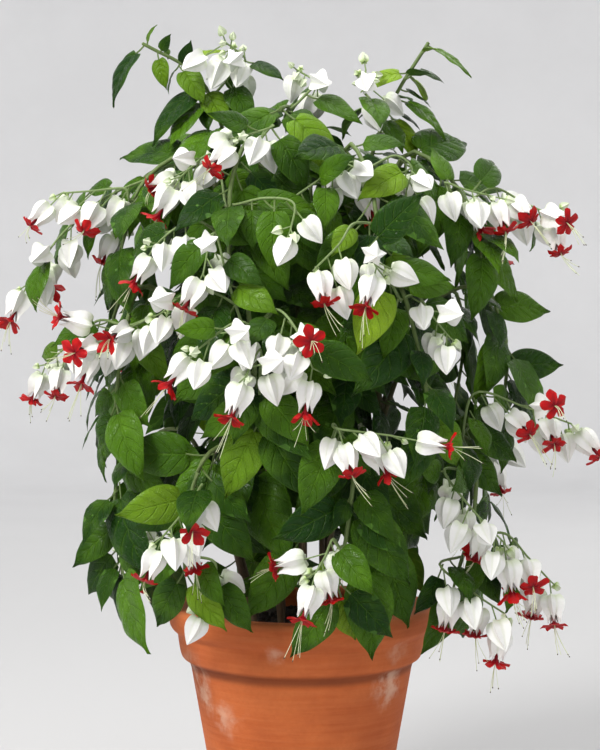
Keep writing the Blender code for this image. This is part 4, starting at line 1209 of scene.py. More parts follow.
def calyces(flowers, opened, seed):
    """White calyces with five keels.

    Out to the side a point is the profile * (CALYX_WAIST + CALYX_KEEL * keel), where the keel falls
    from 1 to 0 as one minus the sine's size over each fifth of the turn. An open calyx ends in five
    lobes and turns back inside as a thin wall.
    """
    rng = np.random.default_rng(seed)
    size = gathered(flowers, "size")[:, None, None]
    angle = (2 * np.pi * np.arange(CALYX_POINTS) / CALYX_POINTS)[None, None]
    keel = 1 - abs(np.sin(2.5 * angle))
    swell = 1 + CALYX_SWELL * np.cos(angle + rng.uniform(0, PHASE_SPAN, size.shape))
    profile = OPEN_PROFILE if opened else CLOSED_PROFILE
    height = profile[None, :, 0, None] + np.zeros_like(keel)
    width = profile[None, :, 1, None] * (CALYX_WAIST + CALYX_KEEL * keel)
    wall = np.zeros_like(height)
    if opened:
        low, run, deep = MOUTH_LOBES
        height = height - np.clip((height - low) / run, 0, 1) * deep * (1 - keel)
        inner = slice(-1, WALL_END, -1)
        wall = np.concatenate([wall, np.full_like(height[:, inner], 1.0)], axis=1)
        width = np.concatenate([width, width[:, inner]], axis=1)
        height = np.concatenate([height, height[:, inner]], axis=1)
    shade = height + 0.0 * width
    deep, run = FOOT_NOTCH
    height = height - deep * keel * np.clip(1 - height / run, 0, 1)
    width = width * swell * CALYX_RADIUS * size - wall * CALYX_WALL
    height = height * CALYX_LENGTH * size
    rings = about_axis(flowers, angle, width, height)
    first = tip_at(flowers, CALYX_FOOT * CALYX_LENGTH * size)
    last = tip_at(flowers, (CALYX_DEPTH if opened else 1.0) * CALYX_LENGTH * size)
    return (rings, first, last), shade, keel * np.ones_like(shade)


def stars(flowers, seed):
    """Red stars: a tube that leaves the calyx and opens into five lobes, thin and bent back.

    The reach is COROLLA_RADIUS * (the first of STAR_REACH + the second * lobe). A lobe is the
    cosine's size to LOBE_ROUND, with LOBE_POINT of a straight-sided point. Lobes cup forwards or
    fall back with the square of the way out.
    """
    rng = np.random.default_rng(seed)
    size = gathered(flowers, "size")[:, None, None]
    angle = (2 * np.pi * np.arange(STAR_POINTS) / STAR_POINTS)[None, None]
    lobe = (1 - LOBE_POINT) * abs(np.cos(2.5 * angle)) ** LOBE_ROUND
    lobe = lobe + LOBE_POINT * (1 - abs(np.sin(2.5 * angle)))
    uneven = 1 + STAR_UNEVEN * np.sin(angle + rng.uniform(0, PHASE_SPAN, size.shape))
    reach = COROLLA_RADIUS * (STAR_REACH[0] + STAR_REACH[1] * lobe) * uneven
    out = np.array(STAR_OUT)[None, :, None]
    petal = (np.arange(len(STAR_OUT)) >= TUBE_RINGS)[None, :, None]
    lift = np.array(STAR_LIFT)[None, :, None]
    fall = rng.uniform(*STAR_FALLS, size.shape) * out**2 * COROLLA_RADIUS * lobe
    ripple = STAR_RIPPLE * np.sin(10 * angle + rng.uniform(0, PHASE_SPAN, size.shape)) * out**2
    width = np.where(petal, out * reach, out * COROLLA_RADIUS) * size
    forward = CALYX_LENGTH * size + lift + petal * (STAR_RAISED - fall + ripple)
    rings = about_axis(flowers, angle, width, forward)
    first, last = (tip_at(flowers, CALYX_LENGTH * size + end) for end in STAR_ENDS)
    return (rings, first, last), out * np.ones_like(width)


def stamens(flowers, seed, reach):
    """Filaments: out of the star's throat, then bent aside and down, as start + run * t + bend * t^2."""
    rng = np.random.default_rng(seed)
    low, high = (np.array(corner) for corner in CAD_BOX)
    axis = np.repeat(gathered(flowers, "axis"), FILAMENTS, axis=0)
    start = np.repeat(tip_at(flowers, CALYX_LENGTH * gathered(flowers, "size")), FILAMENTS, axis=0)
    lean = np.repeat(rng.normal(0, 1, (len(flowers), 3)), FILAMENTS, axis=0)
    spread = rng.normal(0, 1, axis.shape)
    length = reach * rng.uniform(*THREAD_SPREAD, (len(axis), 1))
    together, apart, down = THREAD_WISH
    bend = normal_of(together * lean + apart * spread + down * DOWN)
    t = np.linspace(0, 1, THREAD_POINTS)[None, :, None]
    share = np.ones_like(length)
    for _ in range(THREAD_CUTS):
        end = start + axis * length * share * THREAD_RUN + bend * length * share * THREAD_BEND
        outside = ((end < low - PROUD) | (end > high + PROUD)).any(axis=1, keepdims=True)
        share = np.where(outside, share * THREAD_CUT, share)
    length = (length * share)[:, None]
    paths = start[:, None] + axis[:, None] * length * t * THREAD_RUN
    bow = THREAD_BOW * spread[:, None] * t * (1 - t)
    return paths + (bow + bend[:, None] * t**2 * THREAD_BEND) * length


def beads(places, runs, long, wide, rounds, seed):
    """Small uneven closed beads: rings of a sine's width along a short run."""
    rng = np.random.default_rng(seed)
    share = np.linspace(0, 1, rounds + 2)[1:-1]
    paths = places[:, None] + runs[:, None] * (share[None, :, None] - 0.5) * np.reshape(long, (-1, 1, 1))
    uneven = rng.uniform(*BEAD_SPREAD, (len(places), rounds))
    radii = np.sin(np.pi * share)[None] * np.reshape(wide, (-1, 1)) * uneven
    rings, _, _ = tubes(paths, radii, BEAD_SIDES)
    half = runs * np.reshape(long, (-1, 1)) * 0.5
    return rings, places - half, places + half


def turned_rings(profile, sides):
    """Clockwise rings of a body of revolution: (radius * cos, radius * sin, height) down its profile."""
    angle = -2 * np.pi * np.arange(sides) / sides
    radius = profile[:, :1]
    across = np.stack([radius * np.cos(angle), radius * np.sin(angle)], axis=-1)
    height = np.broadcast_to(profile[:, 1][:, None, None], (*radius.shape[:1], sides, 1))
    return np.concatenate([across, height], axis=-1)[None]


def eased(knots, spacing, passes):
    """Points evenly along straight runs between knots, then averaged so that the corners are round."""
    knots = np.array(knots)
    run = np.concatenate([[0], np.cumsum(np.linalg.norm(np.diff(knots, axis=0), axis=1))])
    wanted = np.linspace(0, run[-1], int(run[-1] / spacing))
    line = np.column_stack([np.interp(wanted, run, knots[:, k]) for k in range(2)])
    for _ in range(passes):
        line[1:-1] = 0.25 * line[:-2] + 0.5 * line[1:-1] + 0.25 * line[2:]
    return line


def inner_radius(height):
    """The pot's inside radius at a height."""
    share = height / (POT_HEIGHT - BAND_HEIGHT)
    return BASE_RADIUS + (NECK_RADIUS - BASE_RADIUS) * share - WALL


def pot_profile():
    """The pot's outline from the middle of its floor, up inside, over the lip and down to the foot.

    Each knot is a step out and a step up from one of the pot's own radii and heights.
    """
    top = POT_HEIGHT
    band = POT_HEIGHT - BAND_HEIGHT
    lip = POT_HEIGHT - LIP_HEIGHT
    mouth = inner_radius(top)
    return [
        (POT_MIDDLE, FLOOR), (inner_radius(FLOOR), FLOOR), (mouth - 0.0005, top - 0.004),
        (mouth + 0.002, top), (LIP_RADIUS - 0.003, top), (LIP_RADIUS, top - 0.004),
        (LIP_RADIUS - 0.0004, lip + 0.004), (LIP_RADIUS - 0.003, lip),
        (BAND_RADIUS + 0.0003, lip - 0.003), (BAND_RADIUS, lip - 0.008),
        (BAND_RADIUS - 0.001, band + 0.010), (BAND_RADIUS - 0.003, band + 0.002),
        (NECK_RADIUS + 0.001, band - 0.001), (NECK_RADIUS - 0.0006, band - 0.006),
        (BASE_RADIUS + 0.001, 0.004), (BASE_RADIUS - EDGE_ROUND, 0.0), (POT_MIDDLE, 0.0)]


def lumps(x, y, seed, height):
    """A rough surface: a sum of sines of random direction and place, lower as they get shorter."""
    rng = np.random.default_rng(seed)
    total = np.zeros_like(x)
    for pitch in LUMP_PITCHES:
        for _ in range(LUMP_WAVES):
            turn = rng.uniform(0, 2 * np.pi)
            wave = np.cos(turn) * x + np.sin(turn) * y
            phase = rng.uniform(0, PHASE_SPAN)
            total += pitch / LUMP_PITCHES[0] * np.sin(2 * np.pi * wave / pitch + phase)
    return total * height / LUMP_SHARE


# Colours that are mixed in under those of the panel
LEAF_SHADE = (0.0, 0.02, 0.0)
BARK_SHADE = (0.02, 0.012, 0.006)
CALYX_SHADE = (0.82, 0.83, 0.74)
CALYX_FOLDS = (0.62, 0.68, 0.46)
STAR_THROAT = (0.22, 0.002, 0.008)
STAR_STREAKS = (0.30, 0.0, 0.01)
THREAD_SPOTS = (0.60, 0.66, 0.36)
ANTHER_SPOTS = (0.11, 0.085, 0.05)
# Painted shade for the crease under the pot's band
CLAY_CREASE_SHADE = (0.14, 0.030, 0.010)
SOIL_SHADE = (0.012, 0.008, 0.006)

# Wear on the clay: the rim's light edge below the top; and painted shade in the crease under the band
WORN_RIM = (0.006, 0.001)
CREASE_SHADE_DROP = 0.003
CREASE_SHADE_REACH = (0.001, 0.007)


def add_node(tree, kind, inputs=None, **settings):
    """A shader node with its settings, and each input either set or linked from a socket."""
    made = tree.nodes.new(kind)
    for key, value in settings.items():
        setattr(made, key, value)
    for key, value in (inputs or {}).items():
        if isinstance(value, bpy.types.NodeSocket):
            tree.links.new(value, made.inputs[key])
        else:
            made.inputs[key].default_value = value
    return made


def maths(tree, operation, first, second=0.0, third=0.0):
    """One sum on values or sockets."""
    made = add_node(tree, "ShaderNodeMath", {0: first, 1: second, 2: third}, operation=operation)
    return made.outputs[0]


def blend(tree, factor, low, high, way="MIX"):
    """One colour over another by a factor. Plain colours are given as red, green and blue."""
    made = add_node(tree, "ShaderNodeMix", data_type="RGBA", blend_type=way)
    for socket, value in ((made.inputs[0], factor), (made.inputs[6], low), (made.inputs[7], high)):
        if isinstance(value, bpy.types.NodeSocket):
            tree.links.new(value, socket)
        else:
            socket.default_value = value if isinstance(value, float) else (*value[:3], 1.0)
    return made.outputs[2]


def ranged(tree, value, low, high):
    """A value's way from low to high, held between 0 and 1 and eased at both ends."""
    settings = {"Value": value, "From Min": low, "From Max": high}
    return add_node(tree, "ShaderNodeMapRange", settings, interpolation_type="SMOOTHSTEP").outputs[0]


def fading(tree, value, low, high):
    """The same the other way round, from 1 at low to 0 at high."""
    return maths(tree, "SUBTRACT", 1.0, ranged(tree, value, low, high))


def new_group(name, inputs, outputs):
    """A node group with named float or vector inputs and float outputs."""
    tree = bpy.data.node_groups.new(name, "ShaderNodeTree")
    for key, value in inputs.items():
        kind = "NodeSocketVector" if value is None else "NodeSocketFloat"
        socket = tree.interface.new_socket(key, in_out="INPUT", socket_type=kind)
        if value is not None:
            socket.default_value = value
    for key in outputs:
        tree.interface.new_socket(key, in_out="OUTPUT", socket_type="NodeSocketFloat")
    return tree, tree.nodes.new("NodeGroupInput").outputs, tree.nodes.new("NodeGroupOutput").inputs


def mottle_group():
    """Soft spots: noise held between two levels."""
    if "mottle" in bpy.data.node_groups:
        return bpy.data.node_groups["mottle"]
    inputs = {"Vector": None, "Scale": 40.0, "Low": 0.4, "High": 0.6}
    tree, given, put = new_group("mottle", inputs, ["Mask"])
    noise = add_node(tree, "ShaderNodeTexNoise", {"Vector": given["Vector"], "Scale": given["Scale"],
                                                  "Detail": 5.0, "Roughness": 0.6})
    tree.links.new(ranged(tree, noise.outputs[0], given["Low"], given["High"]), put["Mask"])
    return tree


def vein_group():
    """A leaf's veins from its along and across numbers: how strong a vein is, and the quilted height."""
    if "leaf_veins" in bpy.data.node_groups:
        return bpy.data.node_groups["leaf_veins"]
    tree, given, put = new_group("leaf_veins", {"Along": 0.0, "Across": 0.0}, ["Vein", "Height"])
    aside = maths(tree, "ABSOLUTE", given["Across"])
    swept = maths(tree, "MULTIPLY", maths(tree, "POWER", aside, VEIN_BOW), VEIN_SWEEP)
    phase = maths(tree, "MULTIPLY", maths(tree, "SUBTRACT", given["Along"], swept), VEIN_PAIRS)
    away = maths(tree, "PINGPONG", phase, 0.5)
    lateral = maths(tree, "MULTIPLY", fading(tree, away, 0.010, 0.11), fading(tree, aside, 0.55, 1.1))
    middle = fading(tree, aside, 0.02, 0.07)
    vein = maths(tree, "MAXIMUM", lateral, middle)
    cell = add_node(tree, "ShaderNodeCombineXYZ", {0: maths(tree, "MULTIPLY", given["Across"], 6.0),
                                                   1: maths(tree, "MULTIPLY", given["Along"], 16.0)})
    net = add_node(tree, "ShaderNodeTexVoronoi", {"Vector": cell.outputs[0], "Scale": 1.6},
                   feature="DISTANCE_TO_EDGE")
    small = ranged(tree, net.outputs["Distance"], 0.0, 0.16)
    height = maths(tree, "MULTIPLY_ADD", small, 0.35, maths(tree, "SUBTRACT", 1.0, vein))
    tree.links.new(vein, put["Vein"])
    tree.links.new(height, put["Height"])
    return tree


def mottled(tree, place, scale, low, high):
    """A mask of soft spots of one size."""
    inputs = {"Vector": place, "Scale": scale, "Low": low, "High": high}
    return add_node(tree, "ShaderNodeGroup", inputs, node_tree=mottle_group()).outputs["Mask"]


def wash(tree, mask, share, base, colour):
    """A colour laid over another by a share of a mask."""
    return blend(tree, maths(tree, "MULTIPLY", mask, share), base, colour)


def new_finish(name, roughness, sheen=0.0):
    """A material, its node tree, its shader, and the place on the object that patterns follow."""
    made = bpy.data.materials.new(name)
    made.use_nodes = True
    tree = made.node_tree
    shader = tree.nodes["Principled BSDF"]
    shader.inputs["Roughness"].default_value = roughness
    if sheen:
        shader.inputs["Sheen Weight"].default_value = sheen
    place = tree.nodes.new("ShaderNodeTexCoord").outputs["Object"]
    return made, tree, shader, place


def attribute(tree, key):
    """A number that the skin's points carry."""
    return add_node(tree, "ShaderNodeAttribute", attribute_name=key).outputs["Fac"]


def finish_colour(tree, shader, colour, height=None, depth=0.0, strength=0.5):
    """Gives the shader its colour and, from a height, its bump."""
    tree.links.new(colour, shader.inputs["Base Color"])
    if height is not None:
        bump = add_node(tree, "ShaderNodeBump", {"Height": height, "Distance": depth, "Strength": strength})
        tree.links.new(bump.outputs[0], shader.inputs["Normal"])


def leaf_finish(name, settings, under):
    """Deep green blades with paler veins, lighter and yellower by their tint; the underside is paler."""
    made, tree, shader, place = new_finish(name, 0.52 if under else 0.34)
    tint = attribute(tree, "tint")
    along_ = attribute(tree, "along")
    across = attribute(tree, "across")
    veins = add_node(tree, "ShaderNodeGroup", {"Along": along_, "Across": across},
                     node_tree=vein_group()).outputs
    dark = settings.under_colour if under else settings.dark_colour
    mid = blend(tree, ranged(tree, tint, 0.0, 0.6), dark, settings.mid_colour)
    base = blend(tree, ranged(tree, tint, 0.55, 1.0), mid, settings.young_colour)
    spots = mottled(tree, place, 60.0, 0.35, 0.7)
    base = wash(tree, spots, 0.35, base, blend(tree, 0.5, base, LEAF_SHADE))
    base = wash(tree, mottled(tree, place, 26.0, 0.45, 0.72), 0.35, base, settings.fresh_colour)
    pale = blend(tree, 0.5, base, settings.vein_colour)
    base = wash(tree, veins["Vein"], 0.50 if under else 0.22, base, pale)
    edge = ranged(tree, maths(tree, "ABSOLUTE", across), 0.90, 1.0)
    base = wash(tree, edge, 0.35, base, settings.mid_colour)
    gloss = maths(tree, "MULTIPLY_ADD", spots, 0.16, 0.46 if under else 0.24)
    tree.links.new(gloss, shader.inputs["Roughness"])
    shader.inputs["Specular IOR Level"].default_value = 0.16
    finish_colour(tree, shader, base, veins["Height"], 0.0012, 0.35 if under else 0.8)
    return made


def stem_finish(name, low, high, depth):
    """Bark that turns from brown at the foot to green at the tip, with fine streaks."""
    made, tree, shader, place = new_finish(name, 0.6)
    stretch = add_node(tree, "ShaderNodeMapping", {"Vector": place, "Scale": (1.0, 1.0, 0.25)}).outputs[0]
    streaks = mottled(tree, stretch, 420.0, 0.35, 0.65)
    base = blend(tree, ranged(tree, attribute(tree, "along"), 0.15, 0.9), low, high)
    base = wash(tree, streaks, 0.4, base, blend(tree, 0.55, base, BARK_SHADE))
    finish_colour(tree, shader, base, streaks, depth, 0.5)
    return made


def leaf_finishes(settings):
    """Bark, upper side and underside, made once for all leafy pieces."""
    names = ("bark", "leaf_upper", "leaf_under")
    if names[0] not in bpy.data.materials:
        stem_finish(names[0], settings.bark_low, settings.bark_high, 0.0004)
        leaf_finish(names[1], settings, False)
        leaf_finish(names[2], settings, True)
    return [bpy.data.materials[name] for name in names]


def petal_finish(settings):
    """White calyx skin: green where it joins its stalk, soft spots and a fine grain, a little darker in the
    folds.
    """
    made, tree, shader, place = new_finish("calyx_white", 0.5, 0.15)
    along_ = attribute(tree, "along")
    keel = attribute(tree, "across")
    young = maths(tree, "MULTIPLY", attribute(tree, "tint"), 0.8)
    green = maths(tree, "MULTIPLY_ADD", fading(tree, along_, 0.02, 0.30), 0.45, young)
    spots = mottled(tree, place, 90.0, 0.3, 0.75)
    fine = mottled(tree, place, 500.0, 0.35, 0.7)
    base = wash(tree, spots, 0.35, settings.calyx_colour, CALYX_SHADE)
    base = wash(tree, fading(tree, keel, 0.0, 0.25), 0.30, base, CALYX_FOLDS)
    base = blend(tree, green, base, settings.calyx_green)
    finish_colour(tree, shader, base, fine, 0.0003, 0.4)
    return made


def star_finish(settings):
    """Crimson lobes, darker towards the throat, with fine lengthwise streaks."""
    made, tree, shader, place = new_finish("corolla_red", 0.45)
    shader.inputs["Specular IOR Level"].default_value = 0.2
    fine = mottled(tree, place, 350.0, 0.35, 0.7)
    out = ranged(tree, attribute(tree, "along"), 0.1, 0.8)
    base = blend(tree, out, STAR_THROAT, settings.star_colour)
    base = wash(tree, fine, 0.35, base, STAR_STREAKS)
    finish_colour(tree, shader, base, fine, 0.0003, 0.4)
    return made


def thread_finish(name, colour, other, roughness):
    """A small thing's colour with soft spots of another."""
    made, tree, shader, place = new_finish(name, roughness)
    spots = mottled(tree, place, 160.0, 0.35, 0.65)
    finish_colour(tree, shader, blend(tree, spots, colour, other), spots, 0.0002, 0.4)
    return made


# White bloom on the clay: middle, size and strength of each patch
PATCHES = (((-0.088, -0.040, 0.136), 0.034, 0.62), ((-0.062, -0.066, 0.116), 0.026, 0.42),
           ((0.068, -0.056, 0.140), 0.024, 0.60), ((0.070, -0.062, 0.176), 0.022, 0.40),
           ((-0.020, -0.102, 0.176), 0.014, 0.45), ((0.030, 0.080, 0.100), 0.060, 0.60),
           ((-0.075, 0.040, 0.060), 0.045, 0.60), ((0.085, 0.020, 0.090), 0.030, 0.45))


def clay_finish(settings):
    """Fired clay: warm orange with darker clouds, turning lines, worn edges, painted shade in the crease
    under the band and white mineral bloom.
    """
    made, tree, shader, place = new_finish("terracotta", 0.8)
    shader.inputs["Specular IOR Level"].default_value = 0.25
    clouds = mottled(tree, place, 14.0, 0.3, 0.72)
    grain = mottled(tree, place, 320.0, 0.3, 0.75)
    flat = add_node(tree, "ShaderNodeMapping", {"Vector": place, "Scale": (0.05, 0.05, 1.0)}).outputs[0]
    lines = mottled(tree, flat, 260.0, 0.3, 0.7)
    base = blend(tree, clouds, settings.clay_dark, settings.clay_colour)
    base = wash(tree, lines, 0.25, base, settings.clay_light)
    base = wash(tree, grain, 0.20, base, settings.clay_dark)
    level = add_node(tree, "ShaderNodeSeparateXYZ", {0: place}).outputs[2]
    rim = ranged(tree, level, POT_HEIGHT - WORN_RIM[0], POT_HEIGHT - WORN_RIM[1])
    base = wash(tree, rim, 0.45, base, settings.clay_light)
    # Painted shade: the clay is darkened in a band round the crease under the collar band
    crease = maths(tree, "SUBTRACT", level, POT_HEIGHT - BAND_HEIGHT - CREASE_SHADE_DROP)
    crease_shade = fading(tree, maths(tree, "ABSOLUTE", crease), *CREASE_SHADE_REACH)
    base = wash(tree, crease_shade, 0.7, base, CLAY_CREASE_SHADE)
    crust = mottled(tree, place, 60.0, 0.36, 0.60)
    drift = mottled(tree, place, 26.0, 0.30, 0.70)
    bloom = None
    for spot, size, strength in PATCHES:
        away = add_node(tree, "ShaderNodeVectorMath", {0: place, 1: spot}, operation="DISTANCE")
        away = maths(tree, "MULTIPLY_ADD", drift, 0.7 * size, away.outputs["Value"])
        near = maths(tree, "MULTIPLY", fading(tree, away, 0.35 * size, 1.25 * size), strength)
        bloom = near if bloom is None else maths(tree, "MAXIMUM", bloom, near)
    bloom = maths(tree, "MULTIPLY", bloom, crust)
    base = blend(tree, bloom, base, settings.bloom_colour)
    tree.links.new(maths(tree, "MULTIPLY_ADD", bloom, 0.12, 0.74), shader.inputs["Roughness"])
    height = maths(tree, "ADD", maths(tree, "MULTIPLY", grain, 0.6), lines)
    finish_colour(tree, shader, base, height, 0.0004, 0.45)
    return made


def soil_finish(settings):
    """Dark crumbs with darker hollows and a fine rough grain."""
    made, tree, shader, place = new_finish("potting_soil", 0.95)
    coarse = mottled(tree, place, 120.0, 0.35, 0.65)
    fine = mottled(tree, place, 700.0, 0.35, 0.65)
    base = blend(tree, coarse, settings.soil_dark, settings.soil_colour)
    base = wash(tree, fine, 0.4, base, SOIL_SHADE)
    finish_colour(tree, shader, base, maths(tree, "ADD", coarse, fine), 0.0012, 0.8)
    return made


def colour_property(name, description, default):
    return bpy.props.FloatVectorProperty(name=name, description=description, default=default,
                                         subtype="COLOR", size=3, min=0.0, max=1.0)


def size_property(name, description, default):
    return bpy.props.FloatProperty(name=name, description=description, default=default, unit="LENGTH",
                                   min=0.0, precision=4)


class VinePotSettings(bpy.types.PropertyGroup):
    clay_colour: colour_property("Clay", "The fired clay's main colour", (0.600, 0.145, 0.036))
    clay_dark: colour_property("Dark clay", "The darker clouds in the clay", (0.430, 0.090, 0.022))
    clay_light: colour_property("Light clay", "Turning lines and worn edges", (0.700, 0.230, 0.085))
    bloom_colour: colour_property("Mineral bloom", "White crust on the outside", (0.78, 0.56, 0.42))
    soil_colour: colour_property("Soil", "The lighter crumbs", (0.070, 0.045, 0.028))
    soil_dark: colour_property("Dark soil", "The hollows between the crumbs", (0.018, 0.011, 0.007))
    crumb_count: bpy.props.IntProperty(name="Crumbs", description="Loose crumbs on the soil",
                                       default=420, min=0)
    roughness_height: size_property("Soil lumps", "Height of the soil's lumps", 0.0030)


class VineLeafSettings(bpy.types.PropertyGroup):
    dark_colour: colour_property("Old leaves", "The darkest blades", (0.009, 0.042, 0.003))
    mid_colour: colour_property("Middle leaves", "Blades in full growth", (0.070, 0.172, 0.006))
    fresh_colour: colour_property("Fresh green", "Soft lighter clouds in the blades", (0.150, 0.330, 0.012))
    young_colour: colour_property("Young leaves", "The yellowest blades", (0.380, 0.580, 0.030))
    under_colour: colour_property("Undersides", "The paler underside", (0.045, 0.118, 0.016))
    vein_colour: colour_property("Veins", "What the veins are mixed with", (0.190, 0.370, 0.040))
    bark_low: colour_property("Old bark", "Stems at the foot", (0.140, 0.090, 0.050))
    bark_high: colour_property("Green bark", "Stems at the tip", (0.130, 0.200, 0.050))
    petiole_thickness: size_property("Leaf stalk", "Thickness of a leaf's stalk", 0.0014)


class VineFlowerSettings(bpy.types.PropertyGroup):
    calyx_colour: colour_property("Calyx", "The white calyces", (0.92, 0.92, 0.90))
    calyx_green: colour_property("Calyx green", "Where a calyx joins its stalk", (0.42, 0.56, 0.20))
    star_colour: colour_property("Star", "The crimson star", (0.480, 0.003, 0.003))
    thread_colour: colour_property("Filaments", "The pale threads", (0.72, 0.76, 0.52))
    anther_colour: colour_property("Anthers", "The dark tips of the threads", (0.060, 0.045, 0.030))
    stalk_colour: colour_property("Stalks", "The sprays' thin stalks", (0.200, 0.290, 0.100))
    thread_length: size_property("Filament length", "How far the threads reach", 0.021)
    thread_thickness: size_property("Filament", "Thickness of a thread", 0.00042)


class VineStageSettings(bpy.types.PropertyGroup):
    floor_colour: colour_property("Floor", "The plain floor and what it rises into", (0.86, 0.86, 0.87))
    floor_reach: size_property("Floor reach", "How far out the floor starts to rise", 3.2)
    camera_distance: size_property("Camera distance", "From the pot's axis", 1.400)
    camera_height: size_property("Camera height", "Above the floor", 0.427)
    camera_tilt: bpy.props.FloatProperty(name="Camera tilt", description="How far the view looks down",
                                         default=math.radians(1.5), subtype="ANGLE")


class VINE_OT_pot(bpy.types.Operator):
    """Turns the clay pot with its rolled lip, collar band and drain holes"""

    bl_idname = "vine.pot"
    bl_label = "Pot"

    def execute(self, context):
        skins = Skins()
        profile = eased(pot_profile(), POT_SPACING, POT_EASING)
        rings = turned_rings(profile, FINE_SIDES)
        first = np.array([[0.0, 0.0, FLOOR]])
        skins.add(rings, first, np.zeros((1, 3)), 0)
        pot = skins.piece("clay_pot", [clay_finish(context.scene.vine_pot)], ["pot"], 40.0)
        drill = bmesh.new()
        for k in range(DRAIN_HOLES):
            x, y, _ = around(DRAIN_TURN + 360 * k / DRAIN_HOLES, DRAIN_CIRCLE, 0)
            made = bmesh.ops.create_cone(drill, cap_ends=True, segments=DRAIN_SIDES, radius1=DRAIN_RADIUS,
                                         radius2=DRAIN_RADIUS, depth=4 * FLOOR)
            bmesh.ops.translate(drill, verts=made["verts"], vec=(x, y, 0.0))
        mesh = bpy.data.meshes.new("drill")
        drill.to_mesh(mesh)
        drill.free()
        cutter = bpy.data.objects.new("drill", mesh)
        context.scene.collection.objects.link(cutter)
        modifier = pot.modifiers.new("drains", "BOOLEAN")
        modifier.operation = "DIFFERENCE"
        modifier.object = cutter
        old = pot.data
        pot.data = bpy.data.meshes.new_from_object(pot.evaluated_get(context.evaluated_depsgraph_get()))
        pot.modifiers.clear()
        bpy.data.objects.remove(cutter)
        bpy.data.meshes.remove(old)
        return {"FINISHED"}


class VINE_OT_soil(bpy.types.Operator):
    """Fills the pot with lumpy soil and scatters loose crumbs over it"""

    bl_idname = "vine.soil"
    bl_label = "Soil"

    def execute(self, context):
        settings = context.scene.vine_pot
        top_radius = inner_radius(SOIL_TOP) - SEAT_GAP
        out = np.linspace(SOIL_MIDDLE, top_radius, SOIL_RINGS)
        low = FLOOR + SEAT_GAP
        floor_radius = inner_radius(low) - SEAT_GAP
        profile = [(r, SOIL_TOP + SOIL_CROWN * (1 - (r / top_radius) ** 2)) for r in out]
        edge = (top_radius - SOIL_EDGE[0], SOIL_TOP - SOIL_EDGE[1])
        profile += [edge, (floor_radius, low), (SOIL_MIDDLE, low)]
        rings = turned_rings(np.array(profile), SOIL_SIDES)
        fade = np.clip((top_radius - out) / SOIL_FADE, 0, 1)
        fade = np.concatenate([fade, np.zeros(3)])[None, :, None]
        bumps = lumps(rings[..., 0], rings[..., 1], SEED, settings.roughness_height)
        rings[..., 2] += fade * bumps
        skins = Skins()
        peak = rings[:, 0].mean(axis=1)
        skins.add(rings, peak, np.array([[0.0, 0.0, low]]), 0)
        rng = np.random.default_rng(SEED)
        count = settings.crumb_count
        turn = rng.uniform(0, 2 * np.pi, count)
        reach = (top_radius - CRUMB_MARGIN) * np.sqrt(rng.uniform(0, 1, count))
        x = reach * np.cos(turn)
        y = reach * np.sin(turn)
        ground = SOIL_TOP + SOIL_CROWN * (1 - (reach / top_radius) ** 2)
        ground = ground + lumps(x, y, SEED, settings.roughness_height)
        wide = rng.uniform(*CRUMB_WIDTHS, count) * rng.uniform(*CRUMB_SHARES, count)
        runs = normal_of(rng.normal(0, 1, (count, 3)) * (1, 1, CRUMB_TILT))
        places = np.column_stack([x, y, ground + wide * CRUMB_RISE])
        crumbs = beads(places, runs, wide * rng.uniform(*CRUMB_STRETCH, count), wide, BEAD_ROUNDS, SEED)
        skins.add(*crumbs, 0, tint=1.0)
        skins.piece("soil_and_crumbs", [soil_finish(settings)], ["soil"], 60.0)
        return {"FINISHED"}


class VINE_OT_canes(bpy.types.Operator):
    """Grows the canes with their shoots, leaf stalks and quilted leaves, one piece a cane"""

    bl_idname = "vine.canes"
    bl_label = "Canes and leaves"

    def execute(self, context):
        settings = context.scene.vine_leaves
        finishes = leaf_finishes(settings)
        for number, (name, shoots) in enumerate(CANES.items()):
            skins = Skins()
            for path, radii in shoots:
                fine = spline(path, CANE_POINTS * len(path))
                place = np.linspace(0, 1, len(fine))
                thick = np.interp(place, np.linspace(0, 1, len(radii)), radii)
                share = place if path is shoots[0][0] else SHOOT_GREEN + (1 - SHOOT_GREEN) * place
                skins.add(*tubes(fine[None], thick[None], STALK_SIDES), 0, along_=share[None, :, None])
            fine_leaves = LEAVES[name]
            inner = INNER[name]
            rng = random.Random(SEED + TINT_SEED + number)
            for leaf in fine_leaves:
                high = (leaf["root"][2] - TINT_START) / TINT_SPAN
                tint = rng.gauss(OUTER_TINT[0] + HIGH_TINT * high, OUTER_TINT[1])
                leaf["tint"] = min(1.0, max(0.0, tint))
                if leaf["length"] < YOUNG_LENGTH or rng.random() < YOUNG_CHANCE:
                    leaf["tint"] = rng.uniform(*YOUNG_TINTS)
            for leaf in inner:
                leaf["tint"] = max(0.0, rng.gauss(*INNER_TINT))
            for group, stations, cells in ((fine_leaves, FINE_STATIONS, FINE_CELLS),
                                           (inner, INNER_STATIONS, INNER_CELLS)):
                if group:
                    add_leaves(skins, group, stations, cells, SEED + number, settings.petiole_thickness)
            skins.piece(f"leafy_{name}", finishes, [name])
        return {"FINISHED"}


class VINE_OT_spray_leaves(bpy.types.Operator):
    """Sets the small leaves that stand along the sprays' stalks, one piece for each quarter"""

    bl_idname = "vine.spray_leaves"
    bl_label = "Spray leaves"

    def execute(self, context):
        settings = context.scene.vine_leaves
        finishes = leaf_finishes(settings)
        for number, (quarter, group) in enumerate(SPRAY_LEAVES.items()):
            rng = random.Random(SEED + SPRAY_TINT_SEED + number)
            for leaf in group:
                leaf["tint"] = min(1.0, max(0.0, rng.gauss(*SPRAY_TINT)))
            skins = Skins()
            add_leaves(skins, group, SPRAY_LEAF_STATIONS, SPRAY_LEAF_CELLS, SEED + number,
                       settings.petiole_thickness)
            made = skins.shown(f"spray_leaves_{quarter}", finishes)
            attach(made, "root")
        return {"FINISHED"}


